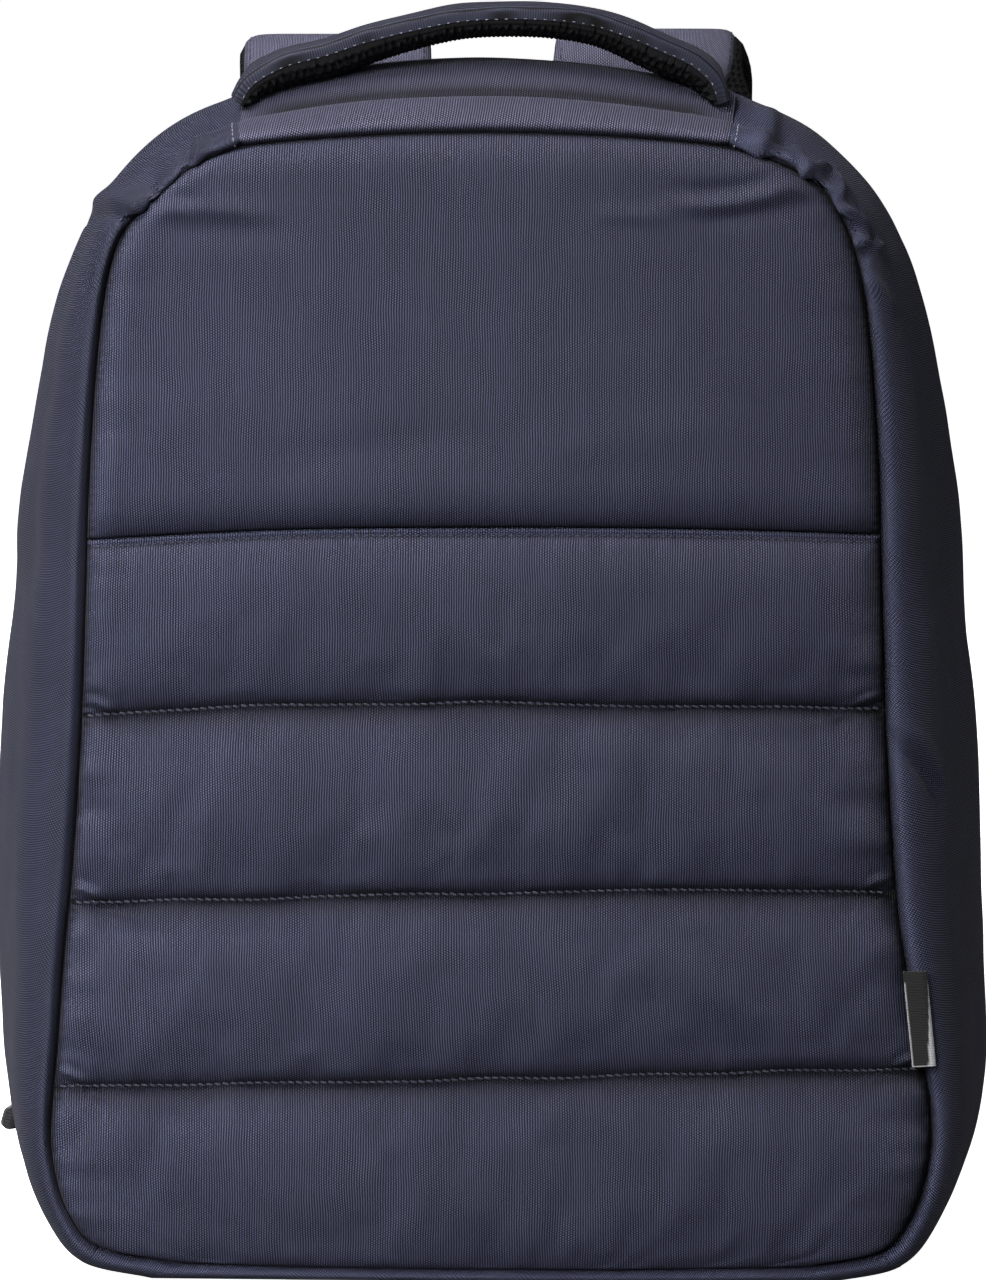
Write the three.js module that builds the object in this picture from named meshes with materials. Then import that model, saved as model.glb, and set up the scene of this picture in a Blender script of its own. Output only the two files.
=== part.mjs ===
// A soft laptop backpack standing on its base, in millimetres.
// +Z is up, the front panel faces -Y, and the origin is the middle of the base, on the floor.
// Left and right are as seen from the front.
import * as THREE from "three";

// Bag body
const bagHalfWidth = 163; // widest outline, about halfway back
const bagHeight = 384; // floor to the crest of the top
const baseDepth = 140; // front seam to back seam along the base
const topDepth = 97; // the same along the top, because the front leans back
const sideFlare = 23; // the widest outline stands this far outside the front seam
const topRise = 21; // and its crest this far above it
const frontBottom = 6.5;
const frontSag = 1.5; // the front seam hangs lower in the middle of the base
const sideTuck = 15; // the back seam lies this far inside the widest outline
const topTuck = 6;
const backBottom = 7;
const clothWall = 2; // gusset cloth with its foam and lining
const seamGap = 0.3;
const topDip = 5; // valley behind the front roll of the top
const footSway = 1.8; // the foot of the bag sits this far to the right of its middle line
const upperSway = -1;
const swayStart = 0.13; // shares of the height where the sway changes
const swayEnd = 0.31;

// Front panels
const pocketHeight = 231; // front seam along the base to the top edge of the quilted panel
const quiltPuff = 8;
const upperPuff = 6;
const frontBelly = 6; // how far the whole front swells between its seams
const frontBacking = 2.2; // cloth and lining behind the padding
const edgeRound = 15; // how soon the padding drops to a seam
const seamArch = 2.6; // cross seams bow up in the middle

// Back panels
const backBacking = 3;
const backPuff = 8;
const yokeHeight = 44; // of the plain panel that the straps are sewn into
const yokePuff = 1.2;

// Zip round the back edge
const zipTape = 1.2;
const zipRecess = 0.5;
const zipBead = 0.9; // how far the teeth stand out of the tape's seam line
const teethStart = 0.36; // share of the tape's width before the teeth
const sliderPlace = 0.5; // share of the way up the left back edge where the two sliders meet
const sliderLength = 13;
const sliderWidth = 8;
const sliderThickness = 3;
const pullLength = 24;
const pullWidth = 5;

// Carry handle
const handleHalfSpan = 75.5; // half the way between the two sewn ends
const handleShift = -2.5; // its middle is this far to the side
const handleRise = 14.6; // middle of the arch above the crest of the top
const handleSetBack = 16; // middle of the handle behind the middle of the base
const handleWidth = 30;
const handleThickness = 8.6;
const handleSkin = 1.8;
const handlePinch = 0.55; // share of the thickness left where an end is sewn in
const handlePinchReach = 0.16; // share of its length that the pinch takes

// Shoulder straps
const strapOffset = 53.5; // middle of a strap's top end from the middle of the pair
const strapShift = 1; // the pair's middle is this far to the side
const strapSplay = 40; // how much further out a strap's lower end lies
const strapTopWidth = 64;
const strapEndWidth = 48;
const strapTipWidth = 34; // at the adjuster
const strapFillStart = 0.08; // shares of its length between which the padding fills up
const strapFillEnd = 0.3;
const strapTaperStart = 0.35; // share of its length where it starts to narrow
const strapTipStart = 0.94; // and where its tip starts
const strapThickness = 11;
const strapRootShare = 0.4; // of the thickness where the strap is sewn into the yoke
const strapTipShare = 0.5; // and at the adjuster
const strapSkin = 1.3;
const strapRise = 8; // middle of the right strap above the back, where it arches over
const leftStrapDrop = 2; // how much lower the left strap arches
const strapEndHeight = 152;
const strapStandOff = 46; // middle of the strap behind the back seam, at its furthest

// Webbing and ladder locks
const webbingWidth = 25;
const webbingThickness = 1.5;
const lockBar = 3.2;
const lockSlot = 5.6; // height of each of the two slots
const lockSide = 4;
const slotPlay = 1; // between the webbing's edge and the side of a slot
const lockThickness = 3;
const lockDrop = 17; // middle bar below the strap's end
const anchorBaseWidth = 42;
const anchorTipWidth = 29;
const anchorHeight = 24; // middle of the sewn edge above the floor
const anchorInset = 22; // sewn edge in from the back panel's side
const anchorLength = 34;
const anchorTurn = 27; // degrees that the tab leans in from upright
const anchorLift = 23.5; // degrees that it stands off the back
const anchorThickness = 2.6;
const anchorLap = 15; // how far the webbing runs down the tab
const anchorGap = 0.45; // between webbing and tab
const straightRun = 8; // webbing lies straight this far below the lock
const hemThickness = 6; // rolled and stitched end of the webbing's tail
const hemLength = 7.4;

// Seam tag
const tagHeight = 30;
const tagReach = 8;
const tagCloth = 1;
const tagSpread = 3.4; // outside width of the folded loop
const tagMiddleHeight = 85.5;
const tagInset = 2.6; // towards the middle of the bag from the seam
const tagSlant = 0.09; // radians that its lower end swings outwards

// How many straight steps each curved strip is made of
const handleSteps = 22;
const strapSteps = 19;
const turnSteps = 6; // half round a bar of the lock
const risingSteps = 12; // webbing from the tab up to the lock
const tailSteps = 15;

const frontHalfWidth = bagHalfWidth - sideFlare;
const frontTop = bagHeight - topRise;
const pocketSeamHeight = frontBottom + pocketHeight;
const backHalfWidth = bagHalfWidth - sideTuck;
const backTop = bagHeight - topTuck;
const yokeSeamHeight = backTop - yokeHeight;

const cloth = new THREE.MeshStandardMaterial({ color: 0x42455a, roughness: 0.82, metalness: 0 });
const mesh = new THREE.MeshStandardMaterial({ color: 0x101114, roughness: 0.95, metalness: 0 });
const webbing = new THREE.MeshStandardMaterial({ color: 0x15161a, roughness: 0.85, metalness: 0 });
const plastic = new THREE.MeshStandardMaterial({ color: 0x121215, roughness: 0.5, metalness: 0 });
const tagCotton = new THREE.MeshStandardMaterial({ color: 0x323234, roughness: 0.9, metalness: 0 });

// Half outlines from the base to where a handle end is sewn in, as shares of the half widths and heights.
// steps is how many facets reach to the next row.
const outlineRows = [
  { steps: 2, frontX: 0.721, frontZ: 0.0, wideX: 0.73, wideZ: 0.0 },
  { steps: 2, frontX: 0.89, frontZ: 0.014, wideX: 0.848, wideZ: 0.012 },
  { steps: 2, frontX: 0.954, frontZ: 0.041, wideX: 0.922, wideZ: 0.041 },
  { steps: 1, frontX: 0.988, frontZ: 0.078, wideX: 0.969, wideZ: 0.086 },
  { steps: 1, frontX: 1.0, frontZ: 0.128, wideX: 0.992, wideZ: 0.14 },
  { steps: 1, frontX: 0.972, frontZ: 0.22, wideX: 1.0, wideZ: 0.225 },
  { steps: 1, frontX: 0.938, frontZ: 0.332, wideX: 0.998, wideZ: 0.335 },
  { steps: 1, frontX: 0.916, frontZ: 0.458, wideX: 0.981, wideZ: 0.455 },
  { steps: 1, frontX: 0.904, frontZ: 0.585, wideX: 0.958, wideZ: 0.57 },
  { steps: 2, frontX: 0.896, frontZ: 0.697, wideX: 0.929, wideZ: 0.675 },
  { steps: 3, frontX: 0.876, frontZ: 0.812, wideX: 0.876, wideZ: 0.79 },
  { steps: 3, frontX: 0.845, frontZ: 0.888, wideX: 0.81, wideZ: 0.861 },
  { steps: 3, frontX: 0.787, frontZ: 0.94, wideX: 0.733, wideZ: 0.907 },
  { steps: 3, frontX: 0.69, frontZ: 0.969, wideX: 0.626, wideZ: 0.945 },
  { steps: 0, frontX: 0.55, frontZ: 0.988, wideX: 0.49, wideZ: 0.972 },
];
const baseSeamRow = 1; // where the base panel meets the side gussets

// Shares of the height up to which the gusset counts as base, and over which it comes to count as top.
const baseBlend = 0.07;
const topBlendStart = 0.88;
const topBlendEnd = 0.97;

// Sections of the gusset from the front seam to the back seam, as shares of the depth there.
// flare goes from the front outline to the widest one and tuck from there to the back outline.
// settle and lift do the same for the height of the base, and dip is the valley across the top.
const frontStations = [
  { depth: 0, flare: 0, tuck: 0, settle: 0, lift: 0, dip: 0 },
  { depth: -0.025, flare: 0.1, tuck: 0, settle: 0.3, lift: 0, dip: 0 },
  { depth: -0.016, flare: 0.25, tuck: 0, settle: 0.65, lift: 0, dip: 0 },
  { depth: 0.03, flare: 0.42, tuck: 0, settle: 0.94, lift: 0, dip: 0 },
  { depth: 0.1, flare: 0.56, tuck: 0, settle: 1, lift: 0, dip: 0.15 },
  { depth: 0.22, flare: 0.7, tuck: 0, settle: 1, lift: 0, dip: 1 },
  { depth: 0.36, flare: 0.85, tuck: 0, settle: 1, lift: 0, dip: 0.4 },
  { depth: 0.5, flare: 0.96, tuck: 0, settle: 1, lift: 0, dip: 0 },
  { depth: 0.68, flare: 1, tuck: 0.02, settle: 1, lift: 0, dip: 0 },
  { depth: 0.82, flare: 1, tuck: 0.16, settle: 1, lift: 0, dip: 0 },
  { depth: 0.9, flare: 1, tuck: 0.4, settle: 1, lift: 0.06, dip: 0 },
];
const rearStations = [
  { depth: 0.965, flare: 1, tuck: 0.74, settle: 1, lift: 0.5, dip: 0 },
  { depth: 1, flare: 1, tuck: 1, settle: 1, lift: 1, dip: 0 },
];

// Folds of the side gussets. up is the share of the way up the half outline, back the share of the depth,
// slant how much further up a fold lies as it runs back, and height is in cloth walls.
const gussetFolds = [
  { side: -1, up: 0.885, upReach: 0.03, back: 0.12, backReach: 0.22, slant: -0.05, height: 0.9 },
  { side: -1, up: 0.838, upReach: 0.02, back: 0.1, backReach: 0.25, slant: -0.05, height: -1.5 },
  { side: 1, up: 0.955, upReach: 0.014, back: 0.13, backReach: 0.14, slant: 0.12, height: 0.9 },
  { side: 1, up: 0.925, upReach: 0.014, back: 0.13, backReach: 0.16, slant: 0.12, height: -1.1 },
  { side: 1, up: 0.893, upReach: 0.014, back: 0.12, backReach: 0.14, slant: 0.12, height: 1 },
  { side: 1, up: 0.86, upReach: 0.014, back: 0.12, backReach: 0.16, slant: 0.1, height: -1 },
  { side: 1, up: 0.8, upReach: 0.02, back: 0.12, backReach: 0.14, slant: 0.1, height: 0.6 },
  { side: 1, up: 0.46, upReach: 0.03, back: 0.3, backReach: 0.16, slant: -0.16, height: -1.2 },
];

const foldStart = 0.06; // share of the depth over which every fold dies away towards the front seam

// Soft dents of the upper front panel, as shares of its half width and height.
// depth is a share of its puff, and below zero it is a ridge.
const upperDents = [
  { across: -0.66, acrossReach: 0.4, up: 0.84, upReach: 0.035, depth: -0.18 },
  { across: -0.6, acrossReach: 0.4, up: 0.9, upReach: 0.035, depth: 0.22 },
  { across: 0.6, acrossReach: 0.3, up: 0.8, upReach: 0.04, depth: -0.15 },
  { across: 0.66, acrossReach: 0.25, up: 0.87, upReach: 0.035, depth: 0.2 },
  { across: -0.3, acrossReach: 0.3, up: 0.07, upReach: 0.05, depth: 0.12 },
];

// Places across a panel, as shares of its half width. The back pads rise and fall at the same places.
const acrossRows = [
  { across: 0, backPad: 0.2 },
  { across: 0.24, backPad: 0.9 },
  { across: 0.48, backPad: 1 },
  { across: 0.68, backPad: 1 },
  { across: 0.85, backPad: 0.55 },
  { across: 0.95, backPad: 0.12 },
  { across: 1, backPad: 0 },
];

// Cross seams of the quilted panel, as shares of the pocket's height.
const quiltSeams = [0, 0.251, 0.511, 0.768, 1];

// Profiles of padding between two seams: at is the share of the way, puff the share of the swell.
const channelRows = [
  { at: 0, puff: 0.1 },
  { at: 0.07, puff: 0.55 },
  { at: 0.22, puff: 0.9 },
  { at: 0.5, puff: 1 },
  { at: 0.78, puff: 0.9 },
  { at: 0.93, puff: 0.55 },
];
const upperRows = [
  { at: 0, puff: 0.12 },
  { at: 0.05, puff: 0.6 },
  { at: 0.16, puff: 0.9 },
  { at: 0.36, puff: 1 },
  { at: 0.58, puff: 1 },
  { at: 0.72, puff: 1 },
  { at: 0.8, puff: 1 },
  { at: 0.87, puff: 0.95 },
  { at: 0.92, puff: 0.8 },
  { at: 0.96, puff: 0.5 },
  { at: 1, puff: 0.1 },
];
const backRows = [
  { at: 0, puff: 0 },
  { at: 0.014, puff: 0 },
  { at: 0.045, puff: 0.15 },
  { at: 0.09, puff: 0.55 },
  { at: 0.16, puff: 0.95 },
  { at: 0.3, puff: 1 },
  { at: 0.5, puff: 1 },
  { at: 0.7, puff: 1 },
  { at: 0.86, puff: 1 },
  { at: 0.94, puff: 0.8 },
  { at: 0.985, puff: 0.4 },
  { at: 1, puff: 0.1 },
];
const yokeRows = [
  { at: 0, puff: 0.4 },
  { at: 0.3, puff: 1 },
  { at: 0.6, puff: 0.8 },
  { at: 0.85, puff: 0.3 },
  { at: 1, puff: 0 },
];

const yBack = baseDepth / 2;
const across = [...acrossRows.map((r) => r.across).reverse(), ...acrossRows.slice(1).map((r) => -r.across)];
const mix = THREE.MathUtils.lerp;
const smooth = THREE.MathUtils.smoothstep;
const bell = (distance, reach) => Math.exp(-((distance / reach) ** 2));
const bow = (share) => 1 - share * share; // 1 in the middle and 0 at both ends

// Depth of the leaning plane of the front seam at a height.
function frontPlane(z) {
  return -baseDepth / 2 + ((baseDepth - topDepth) * (z - frontBottom)) / (frontTop - frontBottom);
}

// A closed solid between two equal grids of points, closed round its edges.
// Where it is a ring, its last column meets its first.
function solidBetween(outer, inner, isRing = false) {
  const rows = outer.length;
  const columns = outer[0].length;
  const points = [...outer.flat(), ...inner.flat()];
  const half = rows * columns;
  const faces = [];
  const at = (r, c) => r * columns + (c % columns);
  const quad = (a, b, c, d) => faces.push(a, b, c, a, c, d);
  const spans = isRing ? columns : columns - 1;
  for (let r = 0; r < rows - 1; r++)
    for (let c = 0; c < spans; c++) {
      quad(at(r, c), at(r, c + 1), at(r + 1, c + 1), at(r + 1, c));
      quad(half + at(r, c), half + at(r + 1, c), half + at(r + 1, c + 1), half + at(r, c + 1));
    }
  for (let c = 0; c < spans; c++) {
    quad(at(0, c), half + at(0, c), half + at(0, c + 1), at(0, c + 1));
    quad(at(rows - 1, c), at(rows - 1, c + 1), half + at(rows - 1, c + 1), half + at(rows - 1, c));
  }
  for (let r = 0; r < rows - 1 && !isRing; r++) {
    quad(at(r, 0), at(r + 1, 0), half + at(r + 1, 0), half + at(r, 0));
    const e = columns - 1;
    quad(at(r, e), half + at(r, e), half + at(r + 1, e), at(r + 1, e));
  }
  let volume = 0;
  for (let i = 0; i < faces.length; i += 3) {
    const [a, b, c] = faces.slice(i, i + 3).map((n) => points[n]);
    volume += a.dot(new THREE.Vector3().crossVectors(b, c));
  }
  if (volume < 0) faces.reverse();
  return new THREE.BufferGeometry().setFromPoints(points).setIndex(faces);
}

// One closed outline, as points (x, z): up the right side, over the top, down the left side, along the base.
function outline(halfWidth, bottom, top, xName, zName, sag = 0) {
  const place = (r) => new THREE.Vector3(r[xName] * halfWidth, mix(bottom, top, r[zName]), 0);
  const rows = outlineRows.map(place);
  const curve = new THREE.CatmullRomCurve3(rows, false, "catmullrom");
  const side = [];
  outlineRows.forEach((row, n) => {
    for (let s = 0; s < Math.max(row.steps, 1); s++)
      side.push(curve.getPoint((n + s / Math.max(row.steps, 1)) / (rows.length - 1)));
  });
  const first = side[0];
  const last = side[side.length - 1];
  const inner = across.slice(1, -1);
  return [
    ...side.map((p) => new THREE.Vector2(p.x, p.y)),
    ...inner.map((c) => new THREE.Vector2(c * last.x, last.y + (top - last.y) * bow(c))),
    ...[...side].reverse().map((p) => new THREE.Vector2(-p.x, p.y)),
    ...inner.map((c) => new THREE.Vector2(-c * first.x, first.y - sag * bow(c))),
  ];
}

const sidePoints = outlineRows.reduce((sum, r) => sum + Math.max(r.steps, 1), 0);
const seamStep = outlineRows.slice(0, baseSeamRow).reduce((sum, r) => sum + r.steps, 0);
const frontLine = outline(frontHalfWidth, frontBottom, frontTop, "frontX", "frontZ", frontSag);
const wideLine = outline(bagHalfWidth, 0, bagHeight, "wideX", "wideZ");
const backLine = outline(backHalfWidth, backBottom, backTop, "wideX", "wideZ");
const ringSize = frontLine.length;
const topStart = sidePoints - 1;
const leftStart = topStart + across.length - 1;
const leftEnd = leftStart + sidePoints - 1;

// Which side of the bag a point of the ring is on, and how far up.
function placeOnSide(k) {
  if (k < sidePoints) return { side: 1, up: k / (sidePoints - 1) };
  if (k >= leftStart && k <= leftEnd) return { side: -1, up: (leftEnd - k) / (sidePoints - 1) };
  return { side: 0, up: 0 };
}

// The point of the gusset's outside at a station, before its folds.
function gussetPoint(station, k) {
  const [front, wide, back] = [frontLine[k], wideLine[k], backLine[k]];
  const onBase = 1 - smooth(wide.y / bagHeight, 0, baseBlend);
  const onTop = smooth(wide.y / bagHeight, topBlendStart, topBlendEnd);
  const x = mix(mix(front.x, wide.x, station.flare), back.x, station.tuck);
  const rise = mix(station.flare, station.settle, onBase);
  const fall = mix(station.tuck, station.lift, onBase);
  const z = mix(mix(front.y, wide.y, rise), back.y, fall) - topDip * station.dip * onTop;
  return new THREE.Vector3(x, mix(frontPlane(front.y), yBack, station.depth), z);
}

// Outward normals of a ring of sections.
function ringNormals(grid) {
  return grid.map((ring, s) =>
    ring.map((_, k) => {
      const back = new THREE.Vector3().subVectors(
        grid[Math.min(s + 1, grid.length - 1)][k],
        grid[Math.max(s - 1, 0)][k],
      );
      const before = ring[(k + ringSize - 1) % ringSize];
      const round = ring[(k + 1) % ringSize].clone().sub(before);
      return back.cross(round).normalize();
    }),
  );
}

function moveAlong(grid, normals, distanceAt) {
  const moved = (p, s, k) => p.clone().addScaledVector(normals[s][k], distanceAt(s, k));
  return grid.map((row, s) => row.map((p, k) => moved(p, s, k)));
}

function foldHeight(station, k) {
  const { side, up } = placeOnSide(k);
  const heights = gussetFolds
    .filter((f) => f.side === side)
    .map((f) => {
      const along = up - f.up - f.slant * (station.depth - f.back);
      return f.height * clothWall * bell(along, f.upReach) * bell(station.depth - f.back, f.backReach);
    });
  return heights.reduce((sum, height) => sum + height, 0) * smooth(station.depth, 0, foldStart);
}

const stations = [...frontStations, ...rearStations];
const plainRings = stations.map((s) => frontLine.map((_, k) => gussetPoint(s, k)));
const foldedRings = moveAlong(plainRings, ringNormals(plainRings), (s, k) => foldHeight(stations[s], k));
const foldedNormals = ringNormals(foldedRings);
const liningRings = moveAlong(foldedRings, foldedNormals, () => -clothWall);
const zipFront = frontStations.length - 1;
const zipRear = frontStations.length;

// Moves the edges of a pair of grids in by half a seam gap: first and last row, and with trimSides all four.
function trim(outer, inner, trimSides = true) {
  const drawIn = (a, b, from, to) => {
    const share = seamGap / 2 / a[from].distanceTo(a[to]);
    a[from].lerp(a[to].clone(), share);
    b[from].lerp(b[to].clone(), share);
  };
  if (trimSides)
    outer.forEach((row, r) => {
      drawIn(row, inner[r], 0, 1);
      drawIn(row, inner[r], row.length - 1, row.length - 2);
    });
  const last = outer.length - 1;
  outer[0].forEach((_, c) => {
    const outerColumn = outer.map((row) => row[c]);
    const innerColumn = inner.map((row) => row[c]);
    drawIn(outerColumn, innerColumn, 0, 1);
    drawIn(outerColumn, innerColumn, last, last - 1);
  });
}

// The part of the gusset between two stations and two places of the ring, as a solid.
function gussetSolid(fromStation, toStation, fromPoint, toPoint) {
  const cut = (grid) =>
    grid.slice(fromStation, toStation + 1).map((ring) => {
      const row = [];
      for (let k = fromPoint; k <= toPoint; k++) row.push(ring[k % ringSize].clone());
      return row;
    });
  const [outer, inner] = [cut(foldedRings), cut(liningRings)];
  trim(outer, inner);
  return solidBetween(outer, inner);
}

const rightGusset = () => gussetSolid(0, zipFront, seamStep, topStart);
const topGusset = () => gussetSolid(0, zipFront, topStart, leftStart);
const leftGusset = () => gussetSolid(0, zipFront, leftStart, leftEnd - seamStep);
const basePanel = () => gussetSolid(0, zipRear, leftEnd - seamStep, ringSize + seamStep);

// The zip's tape with its row of teeth, up one side, over the top and down the other.
function zipStrip() {
  const shares = [0, teethStart, 1 - teethStart, 1];
  const onTeeth = (n) => n === 1 || n === 2;
  const column = (k, lift) =>
    shares.map((share, n) => {
      const point = foldedRings[zipFront][k].clone().lerp(foldedRings[zipRear][k], share);
      const normal = foldedNormals[zipFront][k].clone().lerp(foldedNormals[zipRear][k], share).normalize();
      return point.addScaledVector(normal, lift(n));
    });
  const [outer, inner] = [[], []];
  for (let k = seamStep; k <= leftEnd - seamStep; k++) {
    outer.push(column(k, (n) => (onTeeth(n) ? zipBead : -zipRecess)));
    inner.push(column(k, () => -zipRecess - zipTape));
  }
  trim(outer, inner);
  return solidBetween(outer, inner);
}

function rearBand() {
  const cut = (rings) => rings.slice(zipRear).map((ring) => ring.map((p) => p.clone()));
  const [outer, inner] = [cut(foldedRings), cut(liningRings)];
  trim(outer, inner, false);
  return solidBetween(outer, inner, true);
}

// The same outline with every point moved in.
function inset(line, distance) {
  return line.map((p, k) => {
    const before = line[(k + line.length - 1) % line.length];
    const along = line[(k + 1) % line.length].clone().sub(before).normalize();
    return new THREE.Vector2(p.x - along.y * distance, p.y + along.x * distance);
  });
}

// Half width of an outline at a height, between its base corner and its shoulder.
function halfWidthAt(line, z) {
  for (let k = 1; k < sidePoints; k++) {
    const [low, high] = [line[k - 1], line[k]];
    if (z <= high.y) return mix(low.x, high.x, (z - low.y) / (high.y - low.y));
  }
  return line[topStart].x;
}

// One row of a panel, as points (x, z) from right to left. The lowest and highest rows follow the outline.
function panelRow(line, z, arch) {
  if (z <= line[0].y) return across.map((_, n) => line[(ringSize - n) % ringSize]);
  if (z >= line[topStart].y) return line.slice(topStart, leftStart + 1);
  const half = halfWidthAt(line, z);
  return across.map((c) => new THREE.Vector2(c * half, z + arch * bow(c)));
}

// A padded panel: rows of {z, arch, puff}, with swell and backing as functions of the place on it.
function paddedPanel(line, rows, outsideAt, insideAt) {
  const grid = rows.map((row) => ({ row, points: panelRow(line, row.z, row.arch) }));
  const place = (surface) =>
    grid.map(({ row, points }) =>
      points.map((p, n) => new THREE.Vector3(p.x, surface(row, p, across[n]), p.y)),
    );
  return solidBetween(place(outsideAt), place(insideAt));
}

const frontInset = inset(frontLine, seamGap);
const bellyAt = (z, c) => {
  const middle = (frontTop + frontBottom) / 2;
  const upDown = (z - middle) / (frontTop - middle);
  return frontBelly * bow(c) * Math.max(0, bow(upDown));
};
const roundedEdge = (c, half) => {
  const inward = Math.min(1, ((1 - Math.abs(c)) * half) / edgeRound);
  return Math.sqrt(1 - (1 - inward) ** 2);
};
const frontInside = (row, p, c) => frontPlane(p.y) - bellyAt(p.y, c) + frontBacking;

function frontQuiltedPanel() {
  const rows = [];
  for (let n = 0; n < quiltSeams.length - 1; n++)
    for (const { at, puff } of channelRows) {
      const up = mix(quiltSeams[n], quiltSeams[n + 1], at);
      const arch = seamArch * Math.min(1, up / quiltSeams[1]);
      rows.push({ z: frontBottom + up * pocketHeight, arch, puff });
    }
  rows.push({ z: pocketSeamHeight - seamGap / 2, arch: seamArch, puff: channelRows[0].puff });
  const outside = (row, p, c) =>
    frontPlane(p.y) - bellyAt(p.y, c) - quiltPuff * row.puff * roundedEdge(c, frontHalfWidth);
  return paddedPanel(frontInset, rows, outside, frontInside);
}

function frontUpperPanel() {
  const low = pocketSeamHeight + seamGap / 2;
  const high = frontInset[topStart].y;
  const rows = upperRows.map(({ at, puff }) => ({ z: mix(low, high, at), arch: seamArch, puff, at }));
  const dentAt = (row, c) =>
    upperDents
      .map((d) => d.depth * bell(c - d.across, d.acrossReach) * bell(row.at - d.up, d.upReach))
      .reduce((sum, depth) => sum + depth, 0);
  const outside = (row, p, c) => {
    const puff = Math.max(0, row.puff * roundedEdge(c, frontHalfWidth) - dentAt(row, c) * bow(c));
    return frontPlane(p.y) - bellyAt(p.y, c) - upperPuff * puff;
  };
  return paddedPanel(frontInset, rows, outside, frontInside);
}

const backFace = yBack + seamGap;
const backInside = () => backFace;
const padAt = (c) => acrossRows.find((r) => r.across === Math.abs(c)).backPad;

function backPanel() {
  const high = yokeSeamHeight - seamGap / 2;
  const rows = backRows.map(({ at, puff }) => ({ z: mix(backBottom, high, at), arch: 0, puff }));
  const outside = (row, p, c) => backFace + backBacking + backPuff * row.puff * padAt(c);
  return paddedPanel(backLine, rows, outside, backInside);
}

function backYoke() {
  const low = yokeSeamHeight + seamGap / 2;
  const rows = yokeRows.map(({ at, puff }) => ({ z: mix(low, backLine[topStart].y, at), arch: 0, puff }));
  const outside = (row, p, c) => backFace + backBacking + yokePuff * row.puff * bow(c);
  return paddedPanel(backLine, rows, outside, backInside);
}

// Frames along a smooth line: places with the direction across a strip and out of it.
// Each guide is {p, across}; across is turned square to the line.
function framesAlong(guides, steps) {
  const curve = new THREE.CatmullRomCurve3(guides.map((g) => g.p), false, "centripetal");
  const frames = [];
  for (let n = 0; n <= steps; n++) {
    const t = n / steps;
    const place = t * (guides.length - 1);
    const low = Math.min(Math.floor(place), guides.length - 2);
    const acrossDirection = guides[low].across.clone().lerp(guides[low + 1].across, place - low);
    frames.push(frameAt(curve.getPoint(t), acrossDirection, curve.getTangent(t), t));
  }
  return frames;
}

function frameAt(p, acrossDirection, along, t) {
  const tangent = along.clone().normalize();
  const width = acrossDirection.clone().addScaledVector(tangent, -acrossDirection.dot(tangent)).normalize();
  return { p, across: width, along: tangent, out: new THREE.Vector3().crossVectors(width, tangent), t };
}

// A strip swept along frames. profile gives rows of {a, top, bottom} across it, in millimetres.
function strip(frames, profile) {
  const side = (name) =>
    frames.map((f) =>
      profile(f).map((q) => f.p.clone().addScaledVector(f.across, q.a).addScaledVector(f.out, q[name])),
    );
  return solidBetween(side("top"), side("bottom"));
}

const flatProfile = (width, thickness) => [
  { a: -width / 2, top: thickness / 2, bottom: -thickness / 2 },
  { a: width / 2, top: thickness / 2, bottom: -thickness / 2 },
];

// Cross section of a padded strip, as shares of its half width and half thickness.
const paddedRows = [
  { a: -1, top: 0.2, bottom: -0.4 },
  { a: -0.93, top: 0.8, bottom: -0.86 },
  { a: -0.6, top: 0.98, bottom: -1 },
  { a: 0.6, top: 0.98, bottom: -1 },
  { a: 0.93, top: 0.8, bottom: -0.86 },
  { a: 1, top: 0.2, bottom: -0.4 },
];
const skinProfile = (width, thickness, skin) =>
  paddedRows.map((r) => {
    const top = (r.top * thickness) / 2;
    return { a: (r.a * width) / 2, top, bottom: top - skin };
  });
const padProfile = (width, thickness, skin) =>
  paddedRows.map((r) => {
    const top = (r.top * thickness) / 2 - skin - seamGap;
    return { a: (r.a * width) / 2, top, bottom: Math.min((r.bottom * thickness) / 2, top - skin) };
  });

const vector = (x, y, z) => new THREE.Vector3(x, y, z);

// The handle's arch, as shares of its half span and of its rise above the sewn ends.
const handleRows = [
  { out: -1, up: 0 },
  { out: -0.97, up: 0.13 },
  { out: -0.85, up: 0.3 },
  { out: -0.66, up: 0.47 },
  { out: -0.48, up: 0.66 },
  { out: -0.27, up: 0.84 },
  { out: -0.08, up: 0.965 },
  { out: 0.1, up: 1 },
  { out: 0.3, up: 0.98 },
  { out: 0.5, up: 0.88 },
  { out: 0.64, up: 0.73 },
  { out: 0.8, up: 0.5 },
  { out: 0.92, up: 0.32 },
  { out: 0.985, up: 0.17 },
  { out: 1, up: 0 },
];

// Height of the top of the bag behind the front roll, at a distance from the middle.
function topHeightAt(x) {
  const crest = wideLine[topStart];
  const share = Math.min(1, Math.abs(x) / crest.x);
  return mix(crest.y, bagHeight, bow(share));
}

function handleFrames() {
  const foot = topHeightAt(handleHalfSpan - Math.abs(handleShift) - handleThickness / 2) + seamGap;
  const guides = handleRows.map((r) => ({
    p: vector(handleShift + r.out * handleHalfSpan, handleSetBack, mix(foot, bagHeight + handleRise, r.up)),
    across: vector(0, -1, 0),
  }));
  return framesAlong(guides, handleSteps);
}

// The ends are pinched where they go into the seams.
const handleThicknessAt = (t) =>
  handleThickness * mix(handlePinch, 1, smooth(Math.min(t, 1 - t), 0, handlePinchReach));
const handleCover = () =>
  strip(handleFrames(), (f) => skinProfile(handleWidth, handleThicknessAt(f.t), handleSkin));
const handlePad = () =>
  strip(handleFrames(), (f) => padProfile(handleWidth, handleThicknessAt(f.t), handleSkin));

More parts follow.
